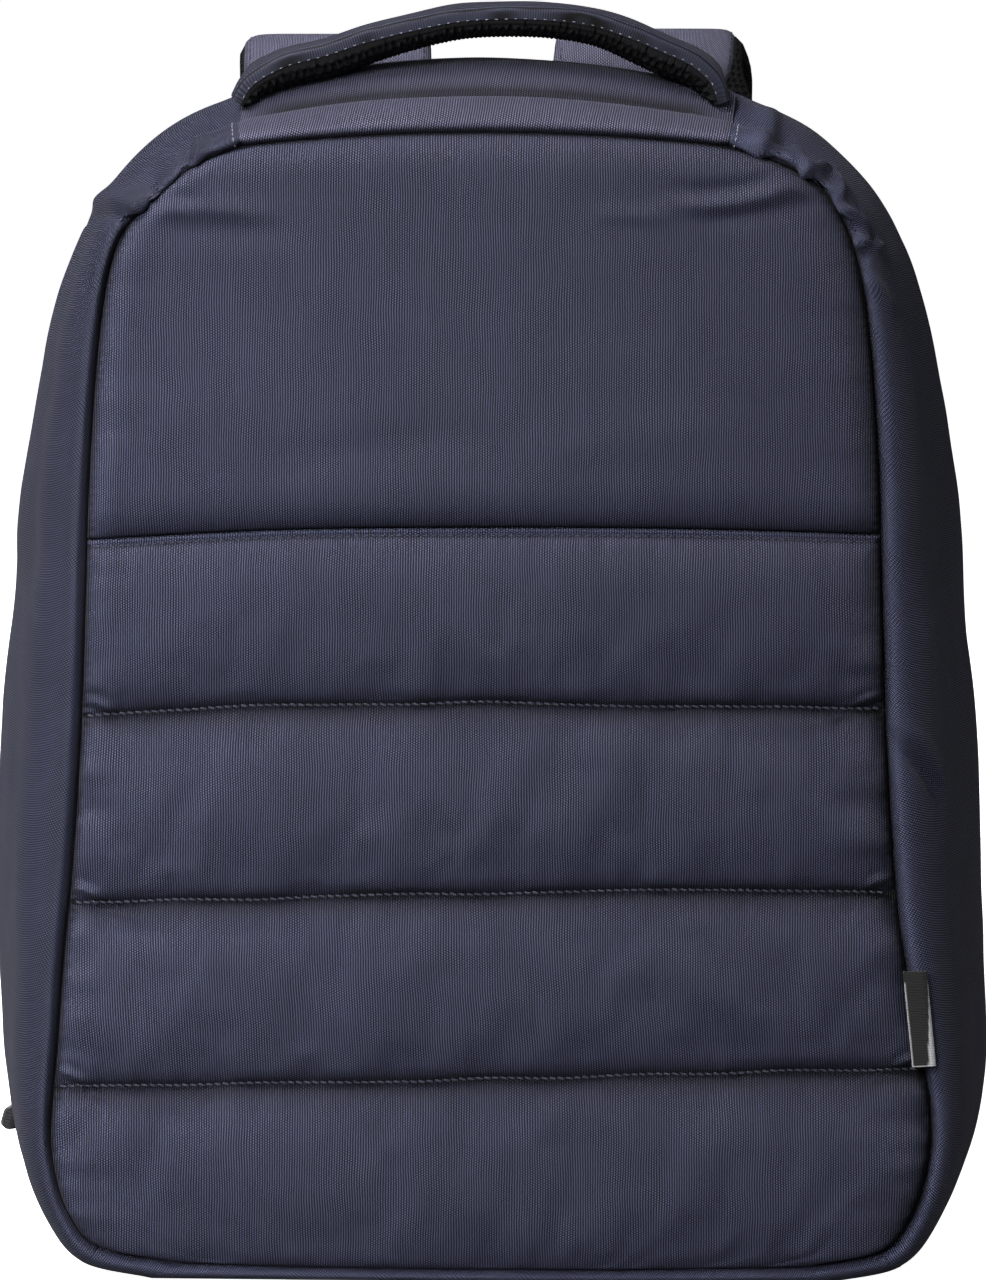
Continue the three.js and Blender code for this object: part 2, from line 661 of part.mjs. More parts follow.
// A strap's line up from its seam to the crest of its arch, then down to its lower end.
// up is the share of the way from seam to crest and down that from crest to lower end,
// out is the share of its splay, and back the share of its stand-off past the seam's place.
const strapUpRows = [
  { up: 0.03, out: 0, back: 0 },
  { up: 0.46, out: 0, back: 0 },
  { up: 0.82, out: 0, back: 0.06 },
  { up: 0.96, out: 0.01, back: 0.21 },
  { up: 1, out: 0.02, back: 0.44 },
];
const strapDownRows = [
  { down: 0.03, out: 0.03, back: 0.7 },
  { down: 0.11, out: 0.06, back: 0.86 },
  { down: 0.26, out: 0.16, back: 0.94 },
  { down: 0.44, out: 0.34, back: 0.99 },
  { down: 0.61, out: 0.54, back: 1 },
  { down: 0.81, out: 0.76, back: 0.93 },
  { down: 1, out: 1, back: 0.8 },
];

function strapFrames(side) {
  const yokeOutside = backFace + backBacking + yokePuff + seamGap;
  const seamPlace = yokeOutside + (strapThickness * strapRootShare) / 2;
  const crest = backTop + strapRise - (side < 0 ? leftStrapDrop : 0);
  const place = ({ out, back }, z) => {
    const x = strapShift + side * (strapOffset + out * strapSplay);
    return { p: vector(x, mix(seamPlace, yBack + strapStandOff, back), z), across: vector(1, 0, 0) };
  };
  const guides = [
    ...strapUpRows.map((r) => place(r, mix(yokeSeamHeight, crest, r.up))),
    ...strapDownRows.map((r) => place(r, mix(crest, strapEndHeight, r.down))),
  ];
  return framesAlong(guides, strapSteps);
}

const strapThicknessAt = (t) =>
  strapThickness *
  mix(strapRootShare, 1, smooth(t, strapFillStart, strapFillEnd)) *
  mix(1, strapTipShare, smooth(t, strapTipStart, 1));
const strapWidthAt = (t) =>
  mix(
    mix(strapTopWidth, strapEndWidth, smooth(t, strapTaperStart, 1)),
    strapTipWidth,
    smooth(t, strapTipStart, 1),
  );
const strapCover = (side) =>
  strip(strapFrames(side), (f) => skinProfile(strapWidthAt(f.t), strapThicknessAt(f.t), strapSkin));
const strapPad = (side) =>
  strip(strapFrames(side), (f) => padProfile(strapWidthAt(f.t), strapThicknessAt(f.t), strapSkin));

// Where a ladder lock hangs below its strap: its middle bar, with the directions across, down and out.
function lockFrame(side) {
  const end = strapFrames(side).at(-1);
  return { ...end, p: end.p.clone().addScaledVector(end.along, lockDrop) };
}

// A place beside the lock's middle bar, so far down and so far out of its plane.
const inLock = (frame, down, out) =>
  frame.p.clone().addScaledVector(frame.along, down).addScaledVector(frame.out, out);

function ladderLock(side) {
  const halfWidth = webbingWidth / 2 + slotPlay + lockSide;
  const halfBar = lockBar / 2;
  const top = -halfBar - lockSlot - lockBar;
  const bottom = halfBar + lockSlot + lockBar;
  const shape = new THREE.Shape();
  shape.moveTo(-halfWidth, top);
  shape.lineTo(halfWidth, top);
  shape.lineTo(halfWidth, bottom - lockBar);
  shape.lineTo(halfWidth - lockSide / 2, bottom);
  shape.lineTo(lockSide / 2 - halfWidth, bottom);
  shape.lineTo(-halfWidth, bottom - lockBar);
  shape.closePath();
  const slot = (low, high) => {
    const half = webbingWidth / 2 + slotPlay;
    const hole = new THREE.Path();
    hole.moveTo(-half, low);
    hole.lineTo(-half, high);
    hole.lineTo(half, high);
    hole.lineTo(half, low);
    hole.closePath();
    return hole;
  };
  shape.holes = [slot(-halfBar - lockSlot, -halfBar), slot(halfBar, halfBar + lockSlot)];
  const frame = lockFrame(side);
  const solid = new THREE.ExtrudeGeometry(shape, { depth: lockThickness, bevelEnabled: false });
  solid.translate(0, 0, -lockThickness / 2);
  const inPlace = new THREE.Matrix4().makeBasis(frame.across, frame.along, frame.out);
  return solid.applyMatrix4(inPlace.setPosition(frame.p));
}

// Half a turn of webbing round a bar of the lock, from its inner side to its outer side.
// turn is -1 over the top of the bar and 1 under it.
function turnRound(frame, barDown, turn) {
  const corner = Math.hypot(lockThickness, lockBar) / 2;
  const radius = corner + seamGap + webbingThickness / 2;
  const places = [];
  for (let n = 0; n <= turnSteps; n++) {
    const angle = (n / turnSteps) * Math.PI;
    const down = barDown + turn * radius * Math.sin(angle);
    const onward = frame.along.clone().multiplyScalar(turn * Math.cos(angle));
    const along = onward.addScaledVector(frame.out, Math.sin(angle));
    places.push(frameAt(inLock(frame, down, -radius * Math.cos(angle)), frame.across, along, 0));
  }
  return places;
}

// The short loop that holds the lock's top bar to the strap's end.
function lockLoop(side) {
  const frame = lockFrame(side);
  const topBar = -lockBar - lockSlot;
  const turn = turnRound(frame, topBar, 1);
  const radius = -frame.out.dot(turn[0].p.clone().sub(frame.p));
  const sewn = (out) => inLock(frame, seamGap - lockDrop, out);
  const legs = [
    frameAt(sewn(-radius), frame.across, frame.along, 0),
    ...turn,
    frameAt(sewn(radius), frame.across, frame.along.clone().negate(), 0),
  ];
  return strip(legs, () => flatProfile(webbingWidth, webbingThickness));
}

// Where the anchor tab's tip lies on the back, and its directions.
function anchorFrames(side) {
  const offBack = backFace + backBacking + anchorThickness;
  const foot = vector(side * (backHalfWidth - anchorInset), offBack, anchorHeight);
  const [turn, lift] = [anchorTurn, anchorLift].map(THREE.MathUtils.degToRad);
  const flat = Math.cos(lift);
  const away = vector(-side * Math.sin(turn) * flat, Math.sin(lift), Math.cos(turn) * flat);
  const tip = foot.clone().addScaledVector(away, anchorLength);
  const width = vector(Math.cos(turn), 0, side * Math.sin(turn));
  return [0, 0.5, 1].map((t) => frameAt(foot.clone().lerp(tip, t), width, away, t));
}

const anchorTab = (side) =>
  strip(anchorFrames(side), (f) => flatProfile(mix(anchorBaseWidth, anchorTipWidth, f.t), anchorThickness));

// The loose tails below the locks. The left one hangs out past the side of the bag, the right one down.
// out is a share of the bag's half width, back of the strap's stand-off and up of the lock's height;
// turn is the angle of the webbing's width from straight across the bag, in degrees.
const tailRows = {
  left: [
    { out: 0.64, back: 0.66, up: 0.71, turn: 27 },
    { out: 0.85, back: 0.42, up: 0.47, turn: 56 },
    { out: 0.99, back: 0.2, up: 0.3, turn: 83 },
    { out: 1.02, back: 0.14, up: 0.18, turn: 88 },
  ],
  right: [
    { out: 0.66, back: 0.8, up: 0.71, turn: 11 },
    { out: 0.72, back: 0.74, up: 0.49, turn: 17 },
    { out: 0.78, back: 0.62, up: 0.3, turn: 25 },
    { out: 0.8, back: 0.58, up: 0.24, turn: 25 },
  ],
};

// The webbing from the anchor tab up behind the lock, over its middle bar and down again as a loose tail.
function lowerWebbing(side) {
  const frame = lockFrame(side);
  const [, , tip] = anchorFrames(side);
  const onTab = anchorThickness / 2 + anchorGap + webbingThickness / 2;
  const turn = turnRound(frame, 0, -1);
  const clear = lockBar + lockSlot + straightRun;
  const radius = -frame.out.dot(turn[0].p.clone().sub(frame.p));
  const onTip = tip.p.clone().addScaledVector(tip.out, onTab);
  const rising = [
    { p: onTip.clone().addScaledVector(tip.along, -anchorLap), across: tip.across },
    { p: onTip, across: tip.across },
    { p: onTip.clone().lerp(inLock(frame, clear, -radius), 0.5), across: vector(1, 0, 0) },
    { p: inLock(frame, clear, -radius), across: frame.across },
    { p: turn[0].p, across: frame.across },
  ];
  const tail = tailRows[side < 0 ? "left" : "right"].map((r) => {
    const angle = THREE.MathUtils.degToRad(r.turn);
    return {
      p: vector(side * r.out * bagHalfWidth, yBack + r.back * strapStandOff, r.up * frame.p.z),
      across: vector(Math.cos(angle), -side * Math.sin(angle), 0),
    };
  });
  const falling = [
    { p: turn.at(-1).p, across: frame.across },
    { p: inLock(frame, clear, radius), across: frame.across },
    ...tail,
  ];
  const hanging = framesAlong(falling, tailSteps).slice(1);
  const end = hanging.at(-1);
  const hem = [0, hemLength].map((down) => ({ ...end, p: end.p.clone().addScaledVector(end.along, down) }));
  const frames = [...framesAlong(rising, risingSteps).slice(0, -1), ...turn, ...hanging, ...hem];
  return strip(frames, (f) => flatProfile(webbingWidth, hem.includes(f) ? hemThickness : webbingThickness));
}

// Two plain sliders that meet at the left back edge, each one piece with its pull.
// sign is 1 for the one whose pull points up and -1 for the one whose pull points down.
function zipSlider(sign) {
  const k = Math.round(mix(leftEnd, leftStart, sliderPlace));
  const middle = foldedRings[zipFront][k].clone().lerp(foldedRings[zipRear][k], 0.5);
  const normal = foldedNormals[zipFront][k].clone().lerp(foldedNormals[zipRear][k], 0.5).normalize();
  const upwards = foldedRings[zipRear][k - 1].clone().sub(foldedRings[zipRear][k + 1]).normalize();
  const along = upwards.multiplyScalar(sign);
  const sideways = normal.clone().cross(along).normalize();
  const outwards = along.clone().cross(sideways);
  const [body, pull] = [sliderWidth / 2, pullWidth / 2];
  const shape = new THREE.Shape();
  shape.moveTo(0, -body);
  shape.lineTo(sliderLength, -body);
  shape.lineTo(sliderLength, -pull);
  shape.lineTo(sliderLength + pullLength, -pull);
  shape.lineTo(sliderLength + pullLength, pull);
  shape.lineTo(sliderLength, pull);
  shape.lineTo(sliderLength, body);
  shape.lineTo(0, body);
  shape.closePath();
  const solid = new THREE.ExtrudeGeometry(shape, { depth: sliderThickness, bevelEnabled: false });
  solid.translate(seamGap, 0, zipBead + seamGap);
  return solid.applyMatrix4(new THREE.Matrix4().makeBasis(along, sideways, outwards).setPosition(middle));
}

// A folded loop of ribbon whose two ends are sewn into the right front seam.
function seamTag() {
  const z = tagMiddleHeight;
  const rollReach = -Math.min(...frontStations.map((s) => s.depth)) * baseDepth;
  const lean = Math.atan((baseDepth - topDepth) / (frontTop - frontBottom));
  const fold = tagReach - tagSpread / 2;
  const middle = tagSpread / 2;
  const shape = new THREE.Shape();
  shape.moveTo(0, 0);
  shape.lineTo(fold, 0);
  shape.absarc(fold, middle, middle, -Math.PI / 2, Math.PI / 2, false);
  shape.lineTo(0, tagSpread);
  shape.lineTo(0, tagSpread - tagCloth);
  shape.lineTo(fold, tagSpread - tagCloth);
  shape.absarc(fold, middle, middle - tagCloth, Math.PI / 2, -Math.PI / 2, true);
  shape.lineTo(0, tagCloth);
  shape.closePath();
  const solid = new THREE.ExtrudeGeometry(shape, { depth: tagHeight, bevelEnabled: false, curveSegments: 5 });
  solid.translate(0, -seamGap - tagSpread, -tagHeight / 2);
  solid.rotateX(-lean);
  solid.rotateY(-tagSlant);
  solid.translate(halfWidthAt(frontLine, z) - tagInset, frontPlane(z) - rollReach, z);
  return solid;
}

// The bag leans a little to the side between its foot and its upper part.
const swayAt = (z) => mix(footSway, upperSway, smooth(z / bagHeight, swayStart, swayEnd));

const bag = new THREE.Group();
function add(name, geometry, material) {
  const place = geometry.getAttribute("position");
  for (let n = 0; n < place.count; n++) place.setX(n, place.getX(n) + swayAt(place.getZ(n)));
  const part = new THREE.Mesh(geometry, material);
  part.name = name;
  bag.add(part);
}

add("front_upper_panel", frontUpperPanel(), cloth);
add("front_quilted_panel", frontQuiltedPanel(), cloth);
add("top_gusset", topGusset(), cloth);
add("right_gusset", rightGusset(), cloth);
add("left_gusset", leftGusset(), cloth);
add("base_panel", basePanel(), cloth);
add("rear_band", rearBand(), cloth);
add("zip_strip", zipStrip(), webbing);
add("back_panel", backPanel(), mesh);
add("back_yoke", backYoke(), cloth);
add("handle_cover", handleCover(), cloth);
add("handle_pad", handlePad(), mesh);
add("seam_tag", seamTag(), tagCotton);
add("zip_slider_upper", zipSlider(1), plastic);
add("zip_slider_lower", zipSlider(-1), plastic);
for (const [name, side] of [["left", -1], ["right", 1]]) {
  add(`${name}_strap_cover`, strapCover(side), cloth);
  add(`${name}_strap_pad`, strapPad(side), mesh);
  add(`${name}_lock_loop`, lockLoop(side), webbing);
  add(`${name}_ladder_lock`, ladderLock(side), plastic);
  add(`${name}_strap_anchor`, anchorTab(side), cloth);
  add(`${name}_lower_webbing`, lowerWebbing(side), webbing);
}

export default bag;
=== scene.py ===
import bpy
import bmesh
import math
import numpy as np
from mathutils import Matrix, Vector
from mathutils.bvhtree import BVHTree


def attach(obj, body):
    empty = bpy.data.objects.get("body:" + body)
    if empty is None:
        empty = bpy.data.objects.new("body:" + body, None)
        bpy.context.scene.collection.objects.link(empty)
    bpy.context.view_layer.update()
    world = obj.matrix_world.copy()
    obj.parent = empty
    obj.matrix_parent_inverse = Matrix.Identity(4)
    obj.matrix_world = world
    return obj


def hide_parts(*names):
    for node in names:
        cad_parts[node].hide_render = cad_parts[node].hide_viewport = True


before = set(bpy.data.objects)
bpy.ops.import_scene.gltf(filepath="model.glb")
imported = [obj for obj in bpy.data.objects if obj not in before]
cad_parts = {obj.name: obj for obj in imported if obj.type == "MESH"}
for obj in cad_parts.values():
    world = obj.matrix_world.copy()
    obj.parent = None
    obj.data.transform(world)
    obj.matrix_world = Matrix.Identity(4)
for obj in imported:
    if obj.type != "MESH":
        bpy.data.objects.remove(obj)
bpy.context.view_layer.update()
metresPerMm = 0.001

# The bag in millimetres, with the same driving sizes as the CAD part.
bag = {
    "halfWidth": 163,
    "height": 384,
    "baseDepth": 140,
    "topDepth": 97,
    "sideFlare": 23,
    "topRise": 21,
    "frontBottom": 6.5,
    "frontSag": 1.5,
    "sideTuck": 15,
    "topTuck": 6,
    "backBottom": 7,
    "wall": 2,
    "gap": 0.3,
    "topDip": 5,
    "footSway": 1.8,
    "upperSway": -1,
    "swayStart": 0.13,
    "swayEnd": 0.31,
    "pocketHeight": 231,
    "frontBelly": 6,
    "frontBacking": 2.2,
    "seamArch": 2.6,
}
frontHalf = bag["halfWidth"] - bag["sideFlare"]
frontTop = bag["height"] - bag["topRise"]
backHalf = bag["halfWidth"] - bag["sideTuck"]
backTop = bag["height"] - bag["topTuck"]
yBack = bag["baseDepth"] / 2
frontLean = (bag["baseDepth"] - bag["topDepth"]) / (frontTop - bag["frontBottom"])
pocketSeam = bag["frontBottom"] + bag["pocketHeight"]

# Half outlines from the base up to a handle seam, as shares of the half widths and heights.
outlineRows = [
    {"frontX": 0.721, "frontZ": 0.0, "wideX": 0.73, "wideZ": 0.0},
    {"frontX": 0.89, "frontZ": 0.014, "wideX": 0.848, "wideZ": 0.012},
    {"frontX": 0.954, "frontZ": 0.041, "wideX": 0.922, "wideZ": 0.041},
    {"frontX": 0.988, "frontZ": 0.078, "wideX": 0.969, "wideZ": 0.086},
    {"frontX": 1.0, "frontZ": 0.128, "wideX": 0.992, "wideZ": 0.14},
    {"frontX": 0.972, "frontZ": 0.22, "wideX": 1.0, "wideZ": 0.225},
    {"frontX": 0.938, "frontZ": 0.332, "wideX": 0.998, "wideZ": 0.335},
    {"frontX": 0.916, "frontZ": 0.458, "wideX": 0.981, "wideZ": 0.455},
    {"frontX": 0.904, "frontZ": 0.585, "wideX": 0.958, "wideZ": 0.57},
    {"frontX": 0.896, "frontZ": 0.697, "wideX": 0.929, "wideZ": 0.675},
    {"frontX": 0.876, "frontZ": 0.812, "wideX": 0.876, "wideZ": 0.79},
    {"frontX": 0.845, "frontZ": 0.888, "wideX": 0.81, "wideZ": 0.861},
    {"frontX": 0.787, "frontZ": 0.94, "wideX": 0.733, "wideZ": 0.907},
    {"frontX": 0.69, "frontZ": 0.969, "wideX": 0.626, "wideZ": 0.945},
    {"frontX": 0.55, "frontZ": 0.988, "wideX": 0.49, "wideZ": 0.972},
]

# Sections of the gusset from the front seam to the back seam, as shares of the depth there.
sectionRows = [
    {"depth": 0, "flare": 0, "tuck": 0, "settle": 0, "lift": 0, "dip": 0},
    {"depth": -0.025, "flare": 0.1, "tuck": 0, "settle": 0.3, "lift": 0, "dip": 0},
    {"depth": -0.016, "flare": 0.25, "tuck": 0, "settle": 0.65, "lift": 0, "dip": 0},
    {"depth": 0.03, "flare": 0.42, "tuck": 0, "settle": 0.94, "lift": 0, "dip": 0},
    {"depth": 0.1, "flare": 0.56, "tuck": 0, "settle": 1, "lift": 0, "dip": 0.15},
    {"depth": 0.22, "flare": 0.7, "tuck": 0, "settle": 1, "lift": 0, "dip": 1},
    {"depth": 0.36, "flare": 0.85, "tuck": 0, "settle": 1, "lift": 0, "dip": 0.4},
    {"depth": 0.5, "flare": 0.96, "tuck": 0, "settle": 1, "lift": 0, "dip": 0},
    {"depth": 0.68, "flare": 1, "tuck": 0.02, "settle": 1, "lift": 0, "dip": 0},
    {"depth": 0.82, "flare": 1, "tuck": 0.16, "settle": 1, "lift": 0, "dip": 0},
    {"depth": 0.9, "flare": 1, "tuck": 0.4, "settle": 1, "lift": 0.06, "dip": 0},
    {"depth": 0.965, "flare": 1, "tuck": 0.74, "settle": 1, "lift": 0.5, "dip": 0},
    {"depth": 1, "flare": 1, "tuck": 1, "settle": 1, "lift": 1, "dip": 0},
]
zipFront, zipRear, backSeam = 10, 11, 12  # rows of that table


def mix(a, b, share):
    return a + (b - a) * share


def smooth(x, low, high):
    share = np.clip((x - low) / (high - low), 0, 1)
    return share * share * (3 - 2 * share)


def bell(distance, reach):
    return np.exp(-((distance / reach) ** 2))


def bow(share):
    return 1 - share * share


# A smooth line through points at shares of its length. power 0 spaces the points evenly, 0.25 by distance.
def curveAt(points, shares, power=0.0):
    points = np.asarray(points, float)
    points = np.vstack([2 * points[0] - points[1], points, 2 * points[-1] - points[-2]])
    place = np.clip(shares, 0, 1) * (len(points) - 3)
    low = np.minimum(place.astype(int), len(points) - 4)
    w = (place - low)[:, None]
    a, b, c, d = (points[low + n] for n in range(4))
    before, here, after = (
        np.maximum(((q - p) ** 2).sum(1, keepdims=True) ** power, 1e-4) for p, q in ((a, b), (b, c), (c, d))
    )
    start = ((b - a) / before - (c - a) / (before + here) + (c - b) / here) * here
    end = ((c - b) / here - (d - b) / (here + after) + (d - c) / after) * here
    cubic = 2 * b - 2 * c + start + end
    square = -3 * b + 3 * c - 2 * start - end
    return ((cubic * w + square) * w + start) * w + b


def columnsOf(rows, *names):
    return np.array([[row[name] for name in names] for row in rows], float)


# Soft noise between about -1 and 1 over a plane, with lumps of the given size.
def softNoise(x, y, size, seed):
    x, y = np.broadcast_arrays(np.asarray(x, float) / size, np.asarray(y, float) / size)
    values = np.random.default_rng(seed).uniform(-1, 1, (64, 64))
    cellX, cellY = np.floor(x).astype(int), np.floor(y).astype(int)
    u, v = x - cellX, y - cellY
    u, v = u * u * (3 - 2 * u), v * v * (3 - 2 * v)
    at = lambda i, j: values[(cellX + i) % 64, (cellY + j) % 64]
    return mix(mix(at(0, 0), at(1, 0), u), mix(at(0, 1), at(1, 1), u), v)


# Heights of folds over a plane. Each fold runs from one place to another and fades at its ends.
def foldHeights(x, y, folds):
    total = np.zeros(np.broadcast(x, y).shape)
    for fold in folds:
        start, end = np.array(fold["start"], float), np.array(fold["end"], float)
        way = end - start
        length = math.hypot(*way)
        along = ((x - start[0]) * way[0] + (y - start[1]) * way[1]) / length
        across = ((y - start[1]) * way[0] - (x - start[0]) * way[1]) / length
        bend = fold.get("bend", 0) * np.clip(bow(2 * along / length - 1), 0, 1)
        fade = smooth(along, -0.35 * length, 0.3 * length) * (1 - smooth(along, 0.7 * length, 1.35 * length))
        offset = (across - bend) / fold["width"]
        sharp = np.where(offset > 0, offset * fold.get("skew", 1), offset)
        total = total + fold["height"] * np.exp(-(sharp**2)) * fade
    return total


def swayAt(z):
    share = smooth(z / bag["height"], bag["swayStart"], bag["swayEnd"])
    return mix(bag["footSway"], bag["upperSway"], share)


def frontPlane(z):
    return -yBack + frontLean * (z - bag["frontBottom"])


def unit(vectors):
    return vectors / np.maximum(np.linalg.norm(vectors, axis=-1, keepdims=True), 1e-9)


# Normals of a grid of points, turned to the side that towards gives at its middle.
def gridNormals(grid, towards=None, ring=False):
    if ring:
        wrapped = np.concatenate([grid[:, -1:], grid, grid[:, :1]], 1)
        across = np.gradient(wrapped, axis=1)[:, 1:-1]
    else:
        across = np.gradient(grid, axis=1)
    normals = unit(np.cross(across, np.gradient(grid, axis=0)))
    if towards is not None:
        middle = normals[grid.shape[0] // 2, grid.shape[1] // 2]
        if middle @ np.asarray(towards, float) < 0:
            normals = -normals
    return normals


# Lengths along the rows or columns of a grid, in millimetres.
def runLength(grid, axis):
    steps = np.linalg.norm(np.diff(grid, axis=axis), axis=2)
    total = np.cumsum(steps, axis=axis)
    start = np.zeros_like(np.take(total, [0], axis=axis))
    return np.concatenate([start, total], axis=axis)


def newObject(name, mesh, materials):
    piece = bpy.data.objects.new(name, mesh)
    bpy.context.scene.collection.objects.link(piece)
    for material in materials if isinstance(materials, list) else [materials]:
        mesh.materials.append(material)
    mesh.polygons.foreach_set("use_smooth", [True] * len(mesh.polygons))
    mesh.set_sharp_from_angle(angle=math.radians(62))
    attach(piece, "root")
    return piece


def turnOutwards(mesh):
    shape = bmesh.new()
    shape.from_mesh(mesh)
    if shape.calc_volume(signed=True) < 0:
        bmesh.ops.reverse_faces(shape, faces=shape.faces)
        shape.to_mesh(mesh)
    shape.free()


# A closed piece between two equal grids in millimetres. The hidden side keeps every skip-th row and column.
# place holds (across the ribs, along the ribs) in millimetres and an amount of painted shade, which is a painted
# highlight where it is below 0.
def gridPiece(name, seen, hidden, place, materials, skip=(6, 6), ring=False, sway=True):
    rows, columns = seen.shape[:2]
    keepRows = sorted({*range(0, rows - 1, skip[0]), rows - 1})
    keepColumns = list(range(0, columns, skip[1])) if ring else sorted({*range(0, columns - 1, skip[1]), columns - 1})
    far = hidden[np.ix_(keepRows, keepColumns)]
    farPlace = place[np.ix_(keepRows, keepColumns)]
    points = np.vstack([seen.reshape(-1, 3), far.reshape(-1, 3)])
    if sway:
        points[:, 0] += swayAt(points[:, 2])
    near = np.arange(rows * columns).reshape(rows, columns)
    back = rows * columns + np.arange(far.shape[0] * far.shape[1]).reshape(far.shape[:2])
    if ring:
        near = np.concatenate([near, near[:, :1]], 1)
        back = np.concatenate([back, back[:, :1]], 1)
        keepColumns = [*keepColumns, columns]
    faces = np.stack([near[:-1, :-1], near[:-1, 1:], near[1:, 1:], near[1:, :-1]], -1).reshape(-1, 4).tolist()
    faces += np.stack([back[:-1, :-1], back[1:, :-1], back[1:, 1:], back[:-1, 1:]], -1).reshape(-1, 4).tolist()
    for n, (a, b) in enumerate(zip(keepColumns, keepColumns[1:])):
        faces.append([*near[0, a : b + 1][::-1].tolist(), int(back[0, n]), int(back[0, n + 1])])
        faces.append([*near[-1, a : b + 1].tolist(), int(back[-1, n + 1]), int(back[-1, n])])
    for n, (a, b) in enumerate(zip(keepRows, keepRows[1:])):
        if not ring:
            faces.append([*near[a : b + 1, 0].tolist(), int(back[n + 1, 0]), int(back[n, 0])])
            faces.append([*near[a : b + 1, -1][::-1].tolist(), int(back[n, -1]), int(back[n + 1, -1])])
    mesh = bpy.data.meshes.new(name)
    mesh.from_pydata((points * metresPerMm).tolist(), [], faces)
    turnOutwards(mesh)
    values = np.vstack([place.reshape(-1, 3), farPlace.reshape(-1, 3)])
    mesh.attributes.new("cloth", "FLOAT_VECTOR", "POINT").data.foreach_set("vector", values.ravel())
    return newObject(name, mesh, materials)


# The third value is painted shade, and a painted highlight where it is below 0.
def placeOf(across, along, paintedShading=0):
    across, along, paintedShading = np.broadcast_arrays(across, along, paintedShading)
    return np.stack([across, along, paintedShading], -1).astype(float)


def addNode(tree, kind, values=(), **settings):
    node = tree.nodes.new(kind)
    for name, value in settings.items():
        setattr(node, name, value)
    for key, value in dict(values).items():
        if isinstance(value, bpy.types.NodeSocket):
            tree.links.new(value, node.inputs[key])
        else:
            node.inputs[key].default_value = value
    return node


def calculate(tree, operation, *values):
    return addNode(tree, "ShaderNodeMath", dict(enumerate(values)), operation=operation).outputs[0]


def newGroup(name, inputs, outputs):
    group = bpy.data.node_groups.new(name, "ShaderNodeTree")
    for label, kind, value in inputs:
        socket = group.interface.new_socket(label, in_out="INPUT", socket_type=kind)
        if value is not None:
            socket.default_value = value
    for label, kind in outputs:
        group.interface.new_socket(label, in_out="OUTPUT", socket_type=kind)
    return group, group.nodes.new("NodeGroupInput").outputs, group.nodes.new("NodeGroupOutput").inputs


# Ribs that run along the cloth, with threads across them. Shade is 0 between ribs and about 0.5 on average.
def makeRibs():
    numbers = [("Pitch", "NodeSocketFloat", 0.95), ("Thread", "NodeSocketFloat", 0.45)]
    group, given, made = newGroup(
        "ribs",
        [("Place", "NodeSocketVector", None), *numbers],
        [("Height", "NodeSocketFloat"), ("Shade", "NodeSocketFloat")],
    )
    parts = addNode(group, "ShaderNodeSeparateXYZ", {0: given["Place"]}).outputs
    drift = addNode(group, "ShaderNodeTexNoise", {"Vector": given["Place"], "Scale": 0.05, "Detail": 1}).outputs[0]
    wander = calculate(group, "MULTIPLY", drift, 1.6)
    across = calculate(group, "ADD", parts[0], wander)
    turns = calculate(group, "DIVIDE", across, given["Pitch"])
    ribWave = calculate(group, "SINE", calculate(group, "MULTIPLY", turns, math.pi))
    rib = calculate(group, "POWER", calculate(group, "ABSOLUTE", ribWave), 1.6)
    odd = calculate(group, "MULTIPLY", calculate(group, "FLOOR", turns), 0.5)
    threadTurns = calculate(group, "ADD", calculate(group, "DIVIDE", parts[1], given["Thread"]), odd)
    threadWave = calculate(group, "SINE", calculate(group, "MULTIPLY", threadTurns, 2 * math.pi))
    thread = calculate(group, "MULTIPLY_ADD", threadWave, 0.5, 0.5)
    patchy = addNode(group, "ShaderNodeTexNoise", {"Vector": given["Place"], "Scale": 0.09, "Detail": 1}).outputs[0]
    depth = addNode(group, "ShaderNodeMapRange", {0: patchy, 1: 0.4, 2: 0.6, 3: 0.2, 4: 0.85}).outputs[0]
    points = calculate(group, "MULTIPLY_ADD", calculate(group, "MULTIPLY_ADD", thread, 1.6, -0.8), depth, 1.0)
    group.links.new(calculate(group, "MULTIPLY_ADD", thread, 0.25, rib), made["Height"])
    group.links.new(calculate(group, "MULTIPLY", rib, points), made["Shade"])
    return group


# Slight unevenness of a dyed cloth: streaks along its ribs and broad soft patches, as a factor near 1.
def makeDye():
    group, given, made = newGroup(
        "dye",
        [("Place", "NodeSocketVector", None), ("Streaks", "NodeSocketFloat", 0.1), ("Patches", "NodeSocketFloat", 0.1)],
        [("Factor", "NodeSocketFloat")],
    )
    thin = addNode(group, "ShaderNodeVectorMath", {0: given["Place"], 1: (1.05, 0.03, 0)}, operation="MULTIPLY")
    streak = addNode(group, "ShaderNodeTexNoise", {"Vector": thin.outputs[0], "Scale": 1, "Detail": 2}).outputs[0]
    patch = addNode(
        group, "ShaderNodeTexNoise", {"Vector": given["Place"], "Scale": 0.03, "Detail": 3, "Roughness": 0.6}
    ).outputs[0]
    streak = calculate(group, "MULTIPLY", calculate(group, "SUBTRACT", streak, 0.5), given["Streaks"])
    patch = calculate(group, "MULTIPLY", calculate(group, "SUBTRACT", patch, 0.5), given["Patches"])
    streaked = calculate(group, "MULTIPLY_ADD", streak, 2, 1)
    total = calculate(group, "ADD", streaked, calculate(group, "MULTIPLY", patch, 2))
    group.links.new(total, made["Factor"])
    return group
